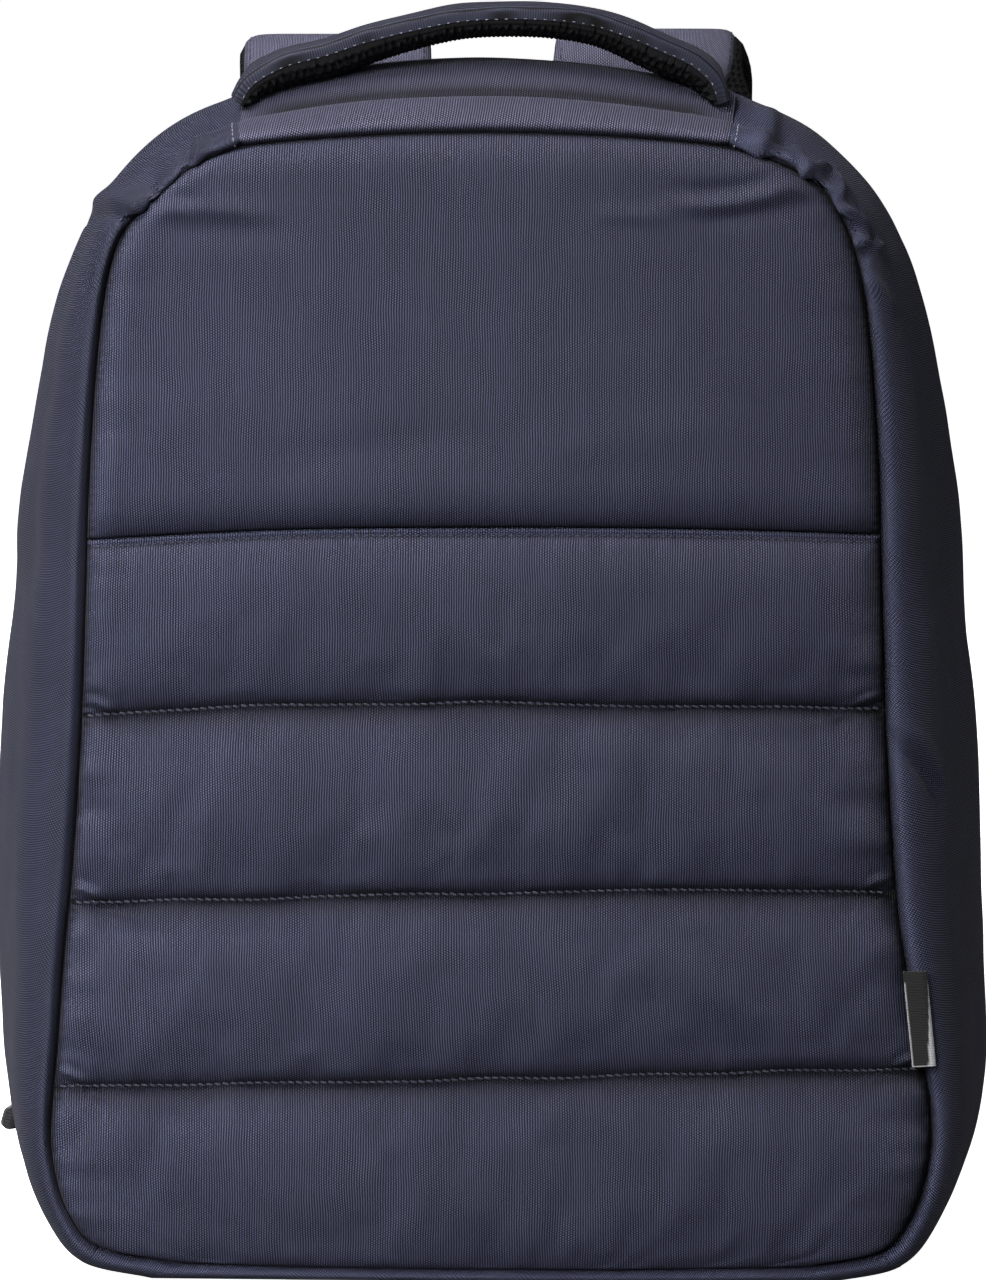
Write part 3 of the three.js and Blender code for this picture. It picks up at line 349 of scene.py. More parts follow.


# Thick open mesh: rounded cells and holes, which the material darkens as painted shade. Holes is 1 in a hole.
def makeAirMesh():
    group, given, made = newGroup(
        "airMesh",
        [("Place", "NodeSocketVector", None), ("Pitch", "NodeSocketFloat", 2.4)],
        [("Height", "NodeSocketFloat"), ("Holes", "NodeSocketFloat")],
    )
    parts = addNode(group, "ShaderNodeSeparateXYZ", {0: given["Place"]}).outputs
    flat = addNode(group, "ShaderNodeCombineXYZ", {0: parts[0], 1: parts[1], 2: 0.0}).outputs[0]
    scale = calculate(group, "DIVIDE", 1.0, given["Pitch"])
    cells = addNode(
        group, "ShaderNodeTexVoronoi", {"Vector": flat, "Scale": scale, "Randomness": 0.25}, feature="F1"
    ).outputs[0]
    hole = addNode(
        group, "ShaderNodeMapRange", {0: cells, 1: 0.2, 2: 0.42, 3: 1.0, 4: 0.0}, interpolation_type="SMOOTHSTEP"
    ).outputs[0]
    fibre = addNode(group, "ShaderNodeTexNoise", {"Vector": flat, "Scale": 2.2, "Detail": 2}).outputs[0]
    ridge = calculate(group, "SUBTRACT", 1.0, hole)
    group.links.new(calculate(group, "MULTIPLY_ADD", fibre, 0.3, ridge), made["Height"])
    group.links.new(hole, made["Holes"])
    return group


ribs, dye, airMesh = makeRibs(), makeDye(), makeAirMesh()


def newMaterial(name, **constants):
    material = bpy.data.materials.new(name)
    material.use_nodes = True
    shader = material.node_tree.nodes["Principled BSDF"]
    for label, value in constants.items():
        shader.inputs[label].default_value = value
    return material, material.node_tree, shader


def clothPlace(tree):
    return addNode(tree, "ShaderNodeAttribute", attribute_name="cloth", attribute_type="GEOMETRY").outputs["Vector"]


def placeGroup(tree, group, **values):
    node = addNode(tree, "ShaderNodeGroup", node_tree=group)
    for name, value in values.items():
        if isinstance(value, bpy.types.NodeSocket):
            tree.links.new(value, node.inputs[name])
        else:
            node.inputs[name].default_value = value
    return node.outputs


def scaledColour(tree, colour, factor):
    node = addNode(tree, "ShaderNodeVectorMath", {0: colour, "Scale": factor}, operation="SCALE")
    return node.outputs[0]


def bumpTo(tree, shader, height, distance, strength=1.0):
    bump = addNode(tree, "ShaderNodeBump", {"Height": height, "Distance": distance, "Strength": strength})
    tree.links.new(bump.outputs[0], shader.inputs["Normal"])


# Navy polyester cloth. A tint changes its colour for pieces that are lighter or darker.
clothLook = {
    "colour": (0.0318, 0.0352, 0.061),
    "ribPitch": 0.8,
    "ribDepth": 0.00014,
    "threadPitch": 0.8,
    "ribShade": 2.3,
    "roughness": 0.62,
    "sheen": 0.04,
    "paintedShadeStrength": 0.35,
}


def makeCloth(name, tint=(1, 1, 1), ribPitch=None, streaks=0.14):
    constants = {"Sheen Weight": clothLook["sheen"], "Sheen Roughness": 0.45, "Specular IOR Level": 0.22}
    material, tree, shader = newMaterial(name, **constants)
    place = clothPlace(tree)
    rib = placeGroup(
        tree, ribs, Place=place, Pitch=ribPitch or clothLook["ribPitch"], Thread=clothLook["threadPitch"]
    )
    uneven = placeGroup(tree, dye, Place=place, Streaks=streaks, Patches=0.1)
    shade = calculate(tree, "MULTIPLY_ADD", rib["Shade"], clothLook["ribShade"], 1 - clothLook["ribShade"] * 0.47)
    # The third value of the cloth place is painted shade above 0 and a painted highlight below 0; it darkens or
    # lightens the colour.
    nearSeam = addNode(tree, "ShaderNodeSeparateXYZ", {0: place}).outputs[2]
    paintedShadeFactor = calculate(tree, "MULTIPLY_ADD", nearSeam, -clothLook["paintedShadeStrength"], 1.0)
    factor = calculate(tree, "MULTIPLY", calculate(tree, "MULTIPLY", shade, uneven["Factor"]), paintedShadeFactor)
    colour = tuple(c * t for c, t in zip(clothLook["colour"], tint))
    tree.links.new(scaledColour(tree, colour, factor), shader.inputs["Base Color"])
    rough = calculate(tree, "MULTIPLY_ADD", rib["Shade"], -0.12, clothLook["roughness"] + 0.06)
    tree.links.new(rough, shader.inputs["Roughness"])
    bumpTo(tree, shader, rib["Height"], clothLook["ribDepth"])
    return material


navyCloth = makeCloth("navyCloth")
# The copy for the sides, base and rear band is darker as painted shade.
paintedShadedSideCloth = makeCloth("paintedShadedSideCloth", tint=(0.8, 0.8, 0.82), ribPitch=0.75)
# The top's copy is lighter as painted light.
paintedLitTopCloth = makeCloth("paintedLitTopCloth", tint=(1.62, 1.48, 1.34))
strapCloth = makeCloth("strapCloth", tint=(2.4, 2.2, 1.9), ribPitch=0.55)
handleCloth = makeCloth("handleCloth", tint=(0.66, 0.66, 0.64))


def makeThread(name, colour):
    material, tree, shader = newMaterial(name, **{"Specular IOR Level": 0.3, "Roughness": 0.7})
    place = addNode(tree, "ShaderNodeTexCoord").outputs["Object"]
    fuzz = addNode(tree, "ShaderNodeTexNoise", {"Vector": place, "Scale": 2600.0, "Detail": 2}).outputs[0]
    factor = calculate(tree, "MULTIPLY_ADD", fuzz, 0.8, 0.6)
    tree.links.new(scaledColour(tree, colour, factor), shader.inputs["Base Color"])
    bumpTo(tree, shader, fuzz, 0.0001)
    return material


navyThread = makeThread("navyThread", (0.045, 0.047, 0.07))
seamThread = makeThread("seamThread", (0.07, 0.074, 0.1))
lightThread = makeThread("lightThread", (0.3, 0.3, 0.36))


def makeSpacerMesh():
    material, tree, shader = newMaterial("spacerMesh", **{"Specular IOR Level": 0.2})
    mesh = placeGroup(tree, airMesh, Place=clothPlace(tree), Pitch=2.3)
    # painted shade in the holes
    factor = calculate(tree, "MULTIPLY_ADD", mesh["Holes"], -0.75, 1.0)
    tree.links.new(scaledColour(tree, (0.006, 0.006, 0.007), factor), shader.inputs["Base Color"])
    rough = calculate(tree, "MULTIPLY_ADD", mesh["Holes"], 0.1, 0.8)
    tree.links.new(rough, shader.inputs["Roughness"])
    bumpTo(tree, shader, mesh["Height"], 0.0011)
    return material


spacerMesh = makeSpacerMesh()


def makeWebbing():
    material, tree, shader = newMaterial("webbing", **{"Specular IOR Level": 0.35, "Sheen Weight": 0.1})
    place = clothPlace(tree)
    weave = placeGroup(tree, ribs, Place=place, Pitch=1.5, Thread=1.1)
    uneven = placeGroup(tree, dye, Place=place, Streaks=0.1, Patches=0.1)
    factor = calculate(tree, "MULTIPLY", calculate(tree, "MULTIPLY_ADD", weave["Shade"], 0.6, 0.6), uneven["Factor"])
    tree.links.new(scaledColour(tree, (0.014, 0.014, 0.017), factor), shader.inputs["Base Color"])
    tree.links.new(calculate(tree, "MULTIPLY_ADD", weave["Shade"], -0.15, 0.75), shader.inputs["Roughness"])
    bumpTo(tree, shader, weave["Height"], 0.0004)
    return material


webbing = makeWebbing()


def makePlastic():
    material, tree, shader = newMaterial("blackPlastic", **{"Specular IOR Level": 0.5})
    place = addNode(tree, "ShaderNodeTexCoord").outputs["Object"]
    grain = addNode(tree, "ShaderNodeTexNoise", {"Vector": place, "Scale": 1800.0, "Detail": 3}).outputs[0]
    tree.links.new(
        scaledColour(tree, (0.013, 0.013, 0.015), calculate(tree, "MULTIPLY_ADD", grain, 0.4, 0.8)),
        shader.inputs["Base Color"],
    )
    tree.links.new(calculate(tree, "MULTIPLY_ADD", grain, 0.25, 0.32), shader.inputs["Roughness"])
    bumpTo(tree, shader, grain, 0.00005)
    return material


blackPlastic = makePlastic()


def makeRibbon():
    material, tree, shader = newMaterial("tagRibbon", **{"Specular IOR Level": 0.3, "Sheen Weight": 0.15})
    place = clothPlace(tree)
    weave = placeGroup(tree, ribs, Place=place, Pitch=0.5, Thread=0.5)
    edge = addNode(tree, "ShaderNodeSeparateXYZ", {0: place}).outputs[2]
    factor = calculate(tree, "MULTIPLY_ADD", weave["Shade"], 0.4, 0.75)
    dark = scaledColour(tree, (0.017, 0.017, 0.018), factor)
    light = scaledColour(tree, (0.62, 0.62, 0.63), factor)
    blend = addNode(tree, "ShaderNodeMix", {0: edge, 6: dark, 7: light}, data_type="RGBA")
    tree.links.new(blend.outputs[2], shader.inputs["Base Color"])
    tree.links.new(calculate(tree, "MULTIPLY_ADD", weave["Shade"], -0.1, 0.8), shader.inputs["Roughness"])
    bumpTo(tree, shader, weave["Height"], 0.00012)
    return material


tagRibbon = makeRibbon()
print("materials made")

def halfOutline(name, shares):
    size = {
        "front": (frontHalf, bag["frontBottom"], frontTop, "frontX", "frontZ"),
        "wide": (bag["halfWidth"], 0, bag["height"], "wideX", "wideZ"),
        "back": (backHalf, bag["backBottom"], backTop, "wideX", "wideZ"),
    }[name]
    half, bottom, top, xName, zName = size
    rows = columnsOf(outlineRows, xName, zName) * [half, top - bottom] + [0, bottom]
    return curveAt(rows, np.asarray(shares, float))


crestOf = {"front": frontTop, "wide": bag["height"], "back": backTop}
sagOf = {"front": bag["frontSag"], "wide": 0, "back": 0}


# Points of an outline: "right" and "left" run up a side, "top" and "base" from one side to the other.
def outlinePart(name, part, shares):
    shares = np.asarray(shares, float)
    if part in ("right", "left"):
        line = halfOutline(name, shares)
        return line * [1 if part == "right" else -1, 1]
    if part == "top":
        end = halfOutline(name, [1.0])[0]
        return np.stack([shares * end[0], end[1] + (crestOf[name] - end[1]) * bow(shares)], 1)
    end = halfOutline(name, [0.0])[0]
    return np.stack([shares * end[0], end[1] - sagOf[name] * bow(shares)], 1)


# The gusset's surface over a part of the outline, with rows going back and columns round the bag.
def gussetGrid(part, shares, sections):
    front, wide, back = (outlinePart(name, part, shares)[None] for name in ("front", "wide", "back"))
    names = ("depth", "flare", "tuck", "settle", "lift", "dip")
    rows = curveAt(columnsOf(sectionRows, *names), np.asarray(sections, float) / backSeam)
    depth, flare, tuck, settle, lift, dip = (rows[:, n : n + 1] for n in range(6))
    onBase = 1 - smooth(wide[..., 1] / bag["height"], 0, 0.07)
    onTop = smooth(wide[..., 1] / bag["height"], 0.88, 0.97)
    x = mix(mix(front[..., 0], wide[..., 0], flare), back[..., 0], tuck)
    rise = mix(flare, settle, onBase)
    fall = mix(tuck, lift, onBase)
    z = mix(mix(front[..., 1], wide[..., 1], rise), back[..., 1], fall) - bag["topDip"] * dip * onTop
    y = mix(frontPlane(front[..., 1]), yBack, depth)
    return np.stack([x, y, z], -1)


# Shares up a side whose places lie at an even distance from each other.
def evenShares(pitch, start=0.0, end=1.0):
    fine = np.linspace(start, end, 1200)
    line = halfOutline("wide", fine)
    run = np.concatenate([[0], np.cumsum(np.linalg.norm(np.diff(line, axis=0), axis=1))])
    return np.interp(np.linspace(0, run[-1], int(run[-1] / pitch)), run, fine)


# Places between two seams with finer steps near both.
def seamSteps(count, evenness=0.25):
    even = np.linspace(0, 1, count)
    return mix(0.5 - 0.5 * np.cos(math.pi * even), even, evenness)


def frontHalfAt(z):
    line = halfOutline("front", np.linspace(0, 1, 600))
    return np.interp(z, line[:, 1], line[:, 0])


stitchLook = {"length": 2.5, "pitch": 3.1, "radius": 0.27, "rise": 0.12, "sink": 0.3}


# Sewing thread along lines of (points, normals): each stitch is a short thread whose ends go into the cloth.
def stitchMesh(name, lines, material, slotName, slant=0, sway=True, **changes):
    length, pitch, radius, rise, sink = ({**stitchLook, **changes}[key] for key in stitchLook)
    points, normals, tangents = [], [], []
    for line, upwards in lines:
        run = np.concatenate([[0], np.cumsum(np.linalg.norm(np.diff(line, axis=0), axis=1))])
        middles = np.arange(pitch / 2, run[-1] - pitch / 2, pitch)
        at = lambda values, place: np.stack([np.interp(place, run, values[:, n]) for n in range(3)], 1)
        points.append(at(line, middles))
        normals.append(unit(at(upwards, middles)))
        tangents.append(unit(at(line, middles + 0.4) - at(line, middles - 0.4)))
    points, normals, tangents = np.vstack(points), np.vstack(normals), np.vstack(tangents)
    normals = unit(normals - tangents * (normals * tangents).sum(1, keepdims=True))
    tangents = unit(tangents + slant * np.cross(tangents, normals))
    sideways = np.cross(tangents, normals)
    ringShares = np.linspace(-1, 1, 7)
    ringSize = 6
    angles = np.arange(ringSize) * 2 * math.pi / ringSize
    template = []
    for share in ringShares:
        thick = radius * max(0.25, math.sqrt(max(0, 1 - share**6)))
        lift = rise - sink * share**4
        for angle in angles:
            template.append((share * length / 2, math.cos(angle) * thick, math.sin(angle) * thick * 0.8 + lift))
    template = np.array(template)
    placed = (
        points[:, None]
        + tangents[:, None] * template[None, :, :1]
        + sideways[:, None] * template[None, :, 1:2]
        + normals[:, None] * template[None, :, 2:3]
    )
    count = len(template)
    faces = []
    for ring in range(len(ringShares) - 1):
        for n in range(ringSize):
            a, b = ring * ringSize + n, ring * ringSize + (n + 1) % ringSize
            faces.append([a, b, b + ringSize, a + ringSize])
    faces.append(list(range(ringSize))[::-1])
    faces.append(list(range(count - ringSize, count)))
    every = [[v + stitch * count for v in face] for stitch in range(len(points)) for face in faces]
    flat = placed.reshape(-1, 3)
    if sway:
        flat[:, 0] += swayAt(flat[:, 2])
    mesh = bpy.data.meshes.new(name)
    mesh.from_pydata((flat * metresPerMm).tolist(), [], every)
    turnOutwards(mesh)
    newObject(name, mesh, material)


quiltStitch = {"slant": 0.3, "pitch": 2.6, "length": 2.2, "radius": 0.36, "rise": 0.42}
hemStitch = {"pitch": 2.7, "length": 1.9, "radius": 0.24, "rise": 0.3}
quilt = {
    "seams": [0, 0.251, 0.511, 0.768, 1],  # shares of the pocket's height
    "puff": 8.0,
    "roundness": 2.6,
    "seamFloor": 0.75,  # half width of the flat floor of a sewn seam
    "waver": 0.6,  # how far a seam wanders up and down
    "waverSize": 24,
    "waverReach": 14,
    "waverSeed": 200,
    "drops": [  # how far each seam hangs below its CAD line, at even places from left to right
        [0, 0, 0, 0, 0],
        [2.6, 2.3, 1.5, -1.5, -4.6],
        [4.4, 4.0, 2.6, 0.5, 0],
        [5.0, 2.6, 1.9, 2.7, 1.4],
        [2.8, 0.9, 0.5, 0.2, 0.4],
    ],
    "edgeRound": 10,
    "hem": 1.7,  # folded top edge down to its topstitch
    "hemStand": 1.7,  # how far the folded edge stands off the panel behind
    "gather": 0.95,  # height of the small gathers along a seam
    "gatherReach": 8.0,
    "gatherSizes": (9.5, 4.2),
    "gatherCalm": (0.6, 2.8),  # gathers begin and are whole this far from a seam
    "fineShare": 0.7,
    "edgeGather": 1.9,
    "edgeGatherReach": 7,
    "edgeGatherSizes": (9, 4.4),
    "swell": 0.4,  # slow unevenness of the padding
    "swellSize": 38,
    "sideCalm": 8,
    "tuckSquash": 1.2,
    "rightTucks": 0.75,
    "hemPower": 3.2,
    "lip": 0.7,  # rounded folded edge, and the groove under it
    "groove": 0.75,
    "grooveWidth": 0.5,
    "grooveDrop": 0.2,
    "lipRound": 3,
    "columns": 236,
    "rowsPerChannel": 46,
}

# Small tucks where a quilting seam meets a side seam: mm inwards from the side and above the quilting seam.
seamTucks = [
    {"start": (0.5, 5.4), "end": (10, 1.9), "width": 1.2, "height": 1.3, "bend": 1.0},
    {"start": (1, 3.2), "end": (11, 0.4), "width": 0.9, "height": -1.1},
    {"start": (1, 7.6), "end": (9, 5.2), "width": 1.3, "height": -1.1, "bend": 1.0},
    {"start": (7, -1.8), "end": (17, -5.0), "width": 1.3, "height": -0.8},
    {"start": (12, -1.5), "end": (24, -4.0), "width": 1.5, "height": 0.6},
]


# How far the cloth of the front hangs below its CAD place, at heights and shares of the half width.
def dropAt(heights, c):
    levels = [*(bag["frontBottom"] + np.array(quilt["seams"]) * bag["pocketHeight"]), frontTop]
    lines = [curveAt(np.array(row, float)[:, None], (c + 1) / 2)[:, 0] for row in [*quilt["drops"], [0] * 5]]
    return np.stack([np.interp(heights, levels, [line[n] for line in lines]) for n in range(len(c))], 1)


def edgeRise(distance, radius):
    inward = np.clip(distance / radius, 0, 1)
    return np.sqrt(1 - (1 - inward) ** 2)


def bellyAt(z, c):
    middle = (frontTop + bag["frontBottom"]) / 2
    upDown = (z - middle) / (frontTop - middle)
    return bag["frontBelly"] * bow(c) * np.maximum(0, bow(upDown))


def panelColumns(count):
    even = np.linspace(-1, 1, count)
    return mix(np.sin(even * math.pi / 2), even, 0.72)


# Places (x, z) of the front panels: heights and shares of the half width there.
def frontPlaces(heights, c, archLow, archHigh):
    z = heights[:, None]
    half = frontHalfAt(heights)[:, None] - bag["gap"]
    share = smooth(z, bag["frontBottom"], bag["frontBottom"] + quilt["seams"][1] * bag["pocketHeight"])
    arch = mix(archLow, bag["seamArch"], share)
    crest = frontTop - halfOutline("front", [1.0])[0][1]
    arch = mix(arch, archHigh if archHigh else crest, smooth(z, frontTop - 30, frontTop - 5) if not archHigh else 0)
    return c[None] * half, z + arch * bow(c[None]) - dropAt(heights, c)


# Painted shade in the cloth's seams, creases and puckers and towards the right edge, painted highlights on the hem's
# lip and along the left edge, and how far each reaches in millimetres.
paintedShadeAndHighlight = {
    "aboveStitch": 1.3,
    "belowStitch": 1.9,
    "stitchReach": 3.6,
    "belowStretch": 0.7,
    "line": 0.5,
    "lineReach": 0.9,
    "side": 2.2,
    "sideReach": 1.1,
    "pucker": 1.2,
    "hemGrooveShade": 1.7,
    "hemLineDrop": 0.35,
    "hemLineReach": 0.5,
    "lipLight": 1.3,
    "lipReach": 0.6,
    "rightDark": 0.75,
    "rightReach": 9,
    "leftLight": 0.45,
    "leftPlace": 5,
    "leftReach": 3.5,
    "top": 2,
    "topReach": 1.1,
    "aboveHem": 0.6,
    "aboveHemReach": 4.0,
}
puckerLook = {"depth": 0.5, "pitch": 2.8, "drift": 1.5, "driftSize": 12, "place": 1.4, "reach": 1.3, "seed": 77}
padding = {
    "spacing": 4.5,  # mesh of the simulated cloth, in millimetres
    "pressure": 4.0,
    "slack": 0.03,  # how much larger the cloth is than the panel that it is sewn to
    "frames": 20,
    "cap": 14.0,  # how far a point may move
    "share": 0.3,  # how much of the padding's form comes from the simulation
    "hemFade": (0.2, 0.8),  # shares of the top channel over which it fades out
    "seed": 301,
}


# Padded cloth sewn down round its border and along its seams, as heights over an even grid of places.
def simulatedPadding(width, seams, seed):
    across = int(width / padding["spacing"])
    levels = [seams[0]]
    for low, high in zip(seams, seams[1:]):
        levels.extend(np.linspace(low, high, max(4, round((high - low) / padding["spacing"])))[1:])
    xs, zs = np.linspace(-width / 2, width / 2, across), np.array(levels)
    gridX, gridZ = np.meshgrid(xs, zs)
    sewn = np.isin(gridZ, seams) | (np.abs(gridX) > width / 2 - 0.1)
    start = np.where(sewn, 0, -0.6 - 0.5 * softNoise(gridX, gridZ, 9, seed))
    points = np.stack([gridX, start, gridZ], -1).reshape(-1, 3) / 1000
    index = np.arange(len(points)).reshape(gridX.shape)
    faces = np.stack([index[:-1, :-1], index[:-1, 1:], index[1:, 1:], index[1:, :-1]], -1).reshape(-1, 4)
    mesh = bpy.data.meshes.new("padding")
    mesh.from_pydata(points.tolist(), [], faces.tolist())
    cloth = bpy.data.objects.new("padding", mesh)
    bpy.context.scene.collection.objects.link(cloth)
    cloth.vertex_groups.new(name="sewn").add(index[sewn].tolist(), 1.0, "REPLACE")
    settings = cloth.modifiers.new("cloth", "CLOTH").settings
    settings.vertex_group_mass = "sewn"
    settings.use_pressure, settings.uniform_pressure_force = True, padding["pressure"]
    settings.shrink_min = settings.shrink_max = -padding["slack"]
    settings.effector_weights.gravity = 0
    settings.quality = 6
    for n in range(1, padding["frames"] + 1):
        bpy.context.scene.frame_set(n)
    shaped = cloth.evaluated_get(bpy.context.evaluated_depsgraph_get()).to_mesh()
    moved = np.empty(len(points) * 3, np.float32)
    shaped.vertices.foreach_get("co", moved)
    bpy.data.objects.remove(cloth)
    bpy.context.scene.frame_set(1)
    heights = np.clip(np.abs(moved.reshape(-1, 3)[:, 1]) * 1000, 0, padding["cap"]).reshape(gridX.shape)
    return {"x": xs, "z": zs, "height": heights}


# Height of a simulated padding at shares of the half width and at heights, with smooth steps between its points.
def paddingAt(padded, c, heights):
    rows = np.stack([np.interp(c, padded["x"] / padded["x"][-1], row) for row in padded["height"]])
    return np.stack([np.interp(heights, padded["z"], rows[:, n]) for n in range(len(c))], 1)


# Puckers where the stitches of a side seam pull the cloth in.
def sidePuckers(z, fromSide):
    drift = puckerLook["drift"] * softNoise(z, 0, puckerLook["driftSize"], puckerLook["seed"])
    wave = 0.5 + 0.5 * np.cos(2 * math.pi * z / puckerLook["pitch"] + drift)
    return wave * bell(fromSide - puckerLook["place"], puckerLook["reach"])


# A front panel gets painted shade towards its right seam and a painted highlight along its left one.
def edgeShade(x, fromSide):
    dark = paintedShadeAndHighlight["rightDark"] * bell(fromSide, paintedShadeAndHighlight["rightReach"])
    light = paintedShadeAndHighlight["leftLight"] * bell(fromSide - paintedShadeAndHighlight["leftPlace"], paintedShadeAndHighlight["leftReach"])
    return np.where(x > 0, dark, -light)


# Heights of the rows, and the channel and share of its height that each is in.
def channelRows(seams):
    heights, channel, share = [], [], []
    for n in range(4):
        steps = seamSteps(quilt["rowsPerChannel"])[: None if n == 3 else -1]
        top = seams[n + 1] - (bag["gap"] / 2 if n == 3 else 0)
        heights.extend(mix(seams[n], top, steps))
        channel.extend([n] * len(steps))
        share.extend(steps)
    return np.array(heights), np.array(channel)[:, None], np.array(share)[:, None]


# Two sizes of soft noise in one, for gathers.
def gatherNoise(x, y, sizes, seeds):
    return softNoise(x, y, sizes[0], seeds[0]) + quilt["fineShare"] * softNoise(x, y, sizes[1], seeds[1])


def quiltedPanel():
    seams = bag["frontBottom"] + np.array(quilt["seams"]) * bag["pocketHeight"]
    c = panelColumns(quilt["columns"])
    heights, channel, share = channelRows(seams)
    x, z = frontPlaces(heights, c, -bag["frontSag"], bag["seamArch"])
    for n in (1, 2, 3):
        waver = quilt["waver"] * softNoise(x, 0, quilt["waverSize"], quilt["waverSeed"] + n)
        z = z + waver * bell(heights[:, None] - seams[n], quilt["waverReach"]) * bow(c[None] ** 4)
    half = frontHalfAt(heights)[:, None]
    fromSide = (1 - np.abs(c[None])) * half
    channelHeight = np.diff(seams)[channel[:, 0]][:, None]
    below, above = share * channelHeight, (1 - share) * channelHeight
    # padding between the seams
    floorLow = np.where(channel > 0, quilt["seamFloor"], 0)
    floorHigh = np.where(channel < 3, quilt["seamFloor"], 0)
    across = np.clip((below - floorLow) / (channelHeight - floorLow - floorHigh), 0, 1)
    fullness = np.sqrt(np.maximum(0, 1 - np.abs(2 * across - 1) ** quilt["roundness"]))
    atHem = (channel == 3) & (share > 0.5)
    hemLevel = quilt["hemStand"] / quilt["puff"]
    towardsHem = np.clip(2 * share - 1, 0, 1)
    fullness = np.where(atHem, mix(hemLevel, 1, np.sqrt(1 - towardsHem ** quilt["hemPower"])), fullness)
    relief = quilt["puff"] * fullness * edgeRise(fromSide, quilt["edgeRound"])
    padded = simulatedPadding(2 * frontHalfAt(seams[2]), list(seams), padding["seed"])
    soft = paddingAt(padded, c, heights)
    print("padding of the quilted panel stands up to", round(float(soft.max()), 1), "mm")
    soft = soft * quilt["puff"] / max(soft.max(), 1)
    taken = padding["share"] * np.where(channel == 3, 1 - smooth(share, *padding["hemFade"]), 1)
    relief = mix(relief, soft, taken)
    # gathers and tucks at the seams
    nearSeam = np.minimum(np.where(channel > 0, below, 1e3), np.where(channel == 3, 1e3, above))
    shy = edgeRise(fromSide, quilt["sideCalm"])
    sizes, sideSizes = quilt["gatherSizes"], quilt["edgeGatherSizes"]
    for seamIndex, distance in ((0, below), (1, above)):
        seed = 11 + 2 * channel[:, 0] + seamIndex
        waves = np.stack([gatherNoise(x[row], 0, sizes, (s, s + 50)) for row, s in enumerate(seed)])
        fade = np.exp(-distance / quilt["gatherReach"]) * smooth(distance, *quilt["gatherCalm"])
        relief += quilt["gather"] * waves * fade * shy
    for sign in (-1, 1):
        inwards = half - sign * x
        waves = gatherNoise(z, 0, sideSizes, (5 + sign, 8 + sign))
        fade = np.exp(-inwards / quilt["edgeGatherReach"]) * smooth(inwards, 0, 2.5) * smooth(nearSeam, 0, 5)
        relief += quilt["edgeGather"] * waves * fade
        for n in (1, 2, 3):
            seamHeight = seams[n] - dropAt(seams[n : n + 1], c)
            squash = 1 if sign < 0 or n == 2 else quilt["tuckSquash"]
            tucks = foldHeights(inwards, (z - seamHeight) * squash, seamTucks)
            relief += tucks * smooth(inwards, 0, 2) * (1 if sign < 0 else quilt["rightTucks"])
    relief += quilt["swell"] * softNoise(x, z, quilt["swellSize"], 3) * shy * smooth(nearSeam, 0, 10)
    puckers = sidePuckers(z, fromSide)
    relief -= puckerLook["depth"] * puckers
    # the folded top edge
    fromHem = np.where(channel == 3, above, 1e3)
    hem = quilt["hem"]
    lip = quilt["lip"] * np.sqrt(np.maximum(0, 1 - ((fromHem - hem / 2) / (hem / 2)) ** 2)) * (fromHem < hem)
    groove = -quilt["groove"] * bell(fromHem - hem - quilt["grooveDrop"], quilt["grooveWidth"])
    hemRelief = np.minimum(relief, quilt["hemStand"] * edgeRise(fromSide, quilt["lipRound"]))
    relief = np.where(fromHem < hem, hemRelief, relief) + lip + groove
    y = frontPlane(z) - bellyAt(z, c[None]) - relief
    seen = np.stack([x, y, z], -1)
    hidden = np.stack([x, frontPlane(z) - bellyAt(z, c[None]) + bag["frontBacking"], z], -1)
    # painted shade in the creases and puckers, stronger just under a seam where the cloth faces up, and a painted
    # highlight on the hem's lip
    isBelow = (channel < 3) & (above < below)
    stretched = above * paintedShadeAndHighlight["belowStretch"]
    fromStitch = np.where(isBelow, stretched, np.where(channel > 0, below, 1e3))
    strength = np.where(isBelow, paintedShadeAndHighlight["belowStitch"], paintedShadeAndHighlight["aboveStitch"])
    stitchShade = strength * bell(fromStitch, paintedShadeAndHighlight["stitchReach"])
    stitchShade = stitchShade + paintedShadeAndHighlight["line"] * bell(nearSeam, paintedShadeAndHighlight["lineReach"])
    seamShade = np.maximum(stitchShade, paintedShadeAndHighlight["side"] * bell(fromSide, paintedShadeAndHighlight["sideReach"]))
    seamShade = seamShade + edgeShade(x, fromSide) + paintedShadeAndHighlight["pucker"] * puckers
    hemGrooveShade = paintedShadeAndHighlight["hemGrooveShade"] * bell(fromHem - hem - paintedShadeAndHighlight["hemLineDrop"], paintedShadeAndHighlight["hemLineReach"])
    lipLight = paintedShadeAndHighlight["lipLight"] * bell(fromHem - hem / 2, paintedShadeAndHighlight["lipReach"])
    place = placeOf(x, z, np.maximum(seamShade, hemGrooveShade) - lipLight)
    piece = gridPiece("quiltedPanel", seen, hidden, place, navyCloth, skip=(11, 8))
    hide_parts("front_quilted_panel")
    outwards = np.array([0.0, -1.0, frontLean])
    lines = []
    for n in (1, 2, 3):
        row = int(np.argmin(np.abs(heights - seams[n])))
        lines.append((seen[row, 2:-2], np.repeat(outwards[None], len(c) - 4, 0)))
    stitchMesh("quiltStitches", lines, seamThread, "navy_cloth", **quiltStitch)
    row = int(np.argmin(np.abs((seams[4] - heights) - hem - quilt["grooveDrop"])))
    topLine = [(seen[row, 3:-3], np.repeat(outwards[None], len(c) - 6, 0))]
    stitchMesh("hemStitches", topLine, navyThread, "navy_cloth", **hemStitch)


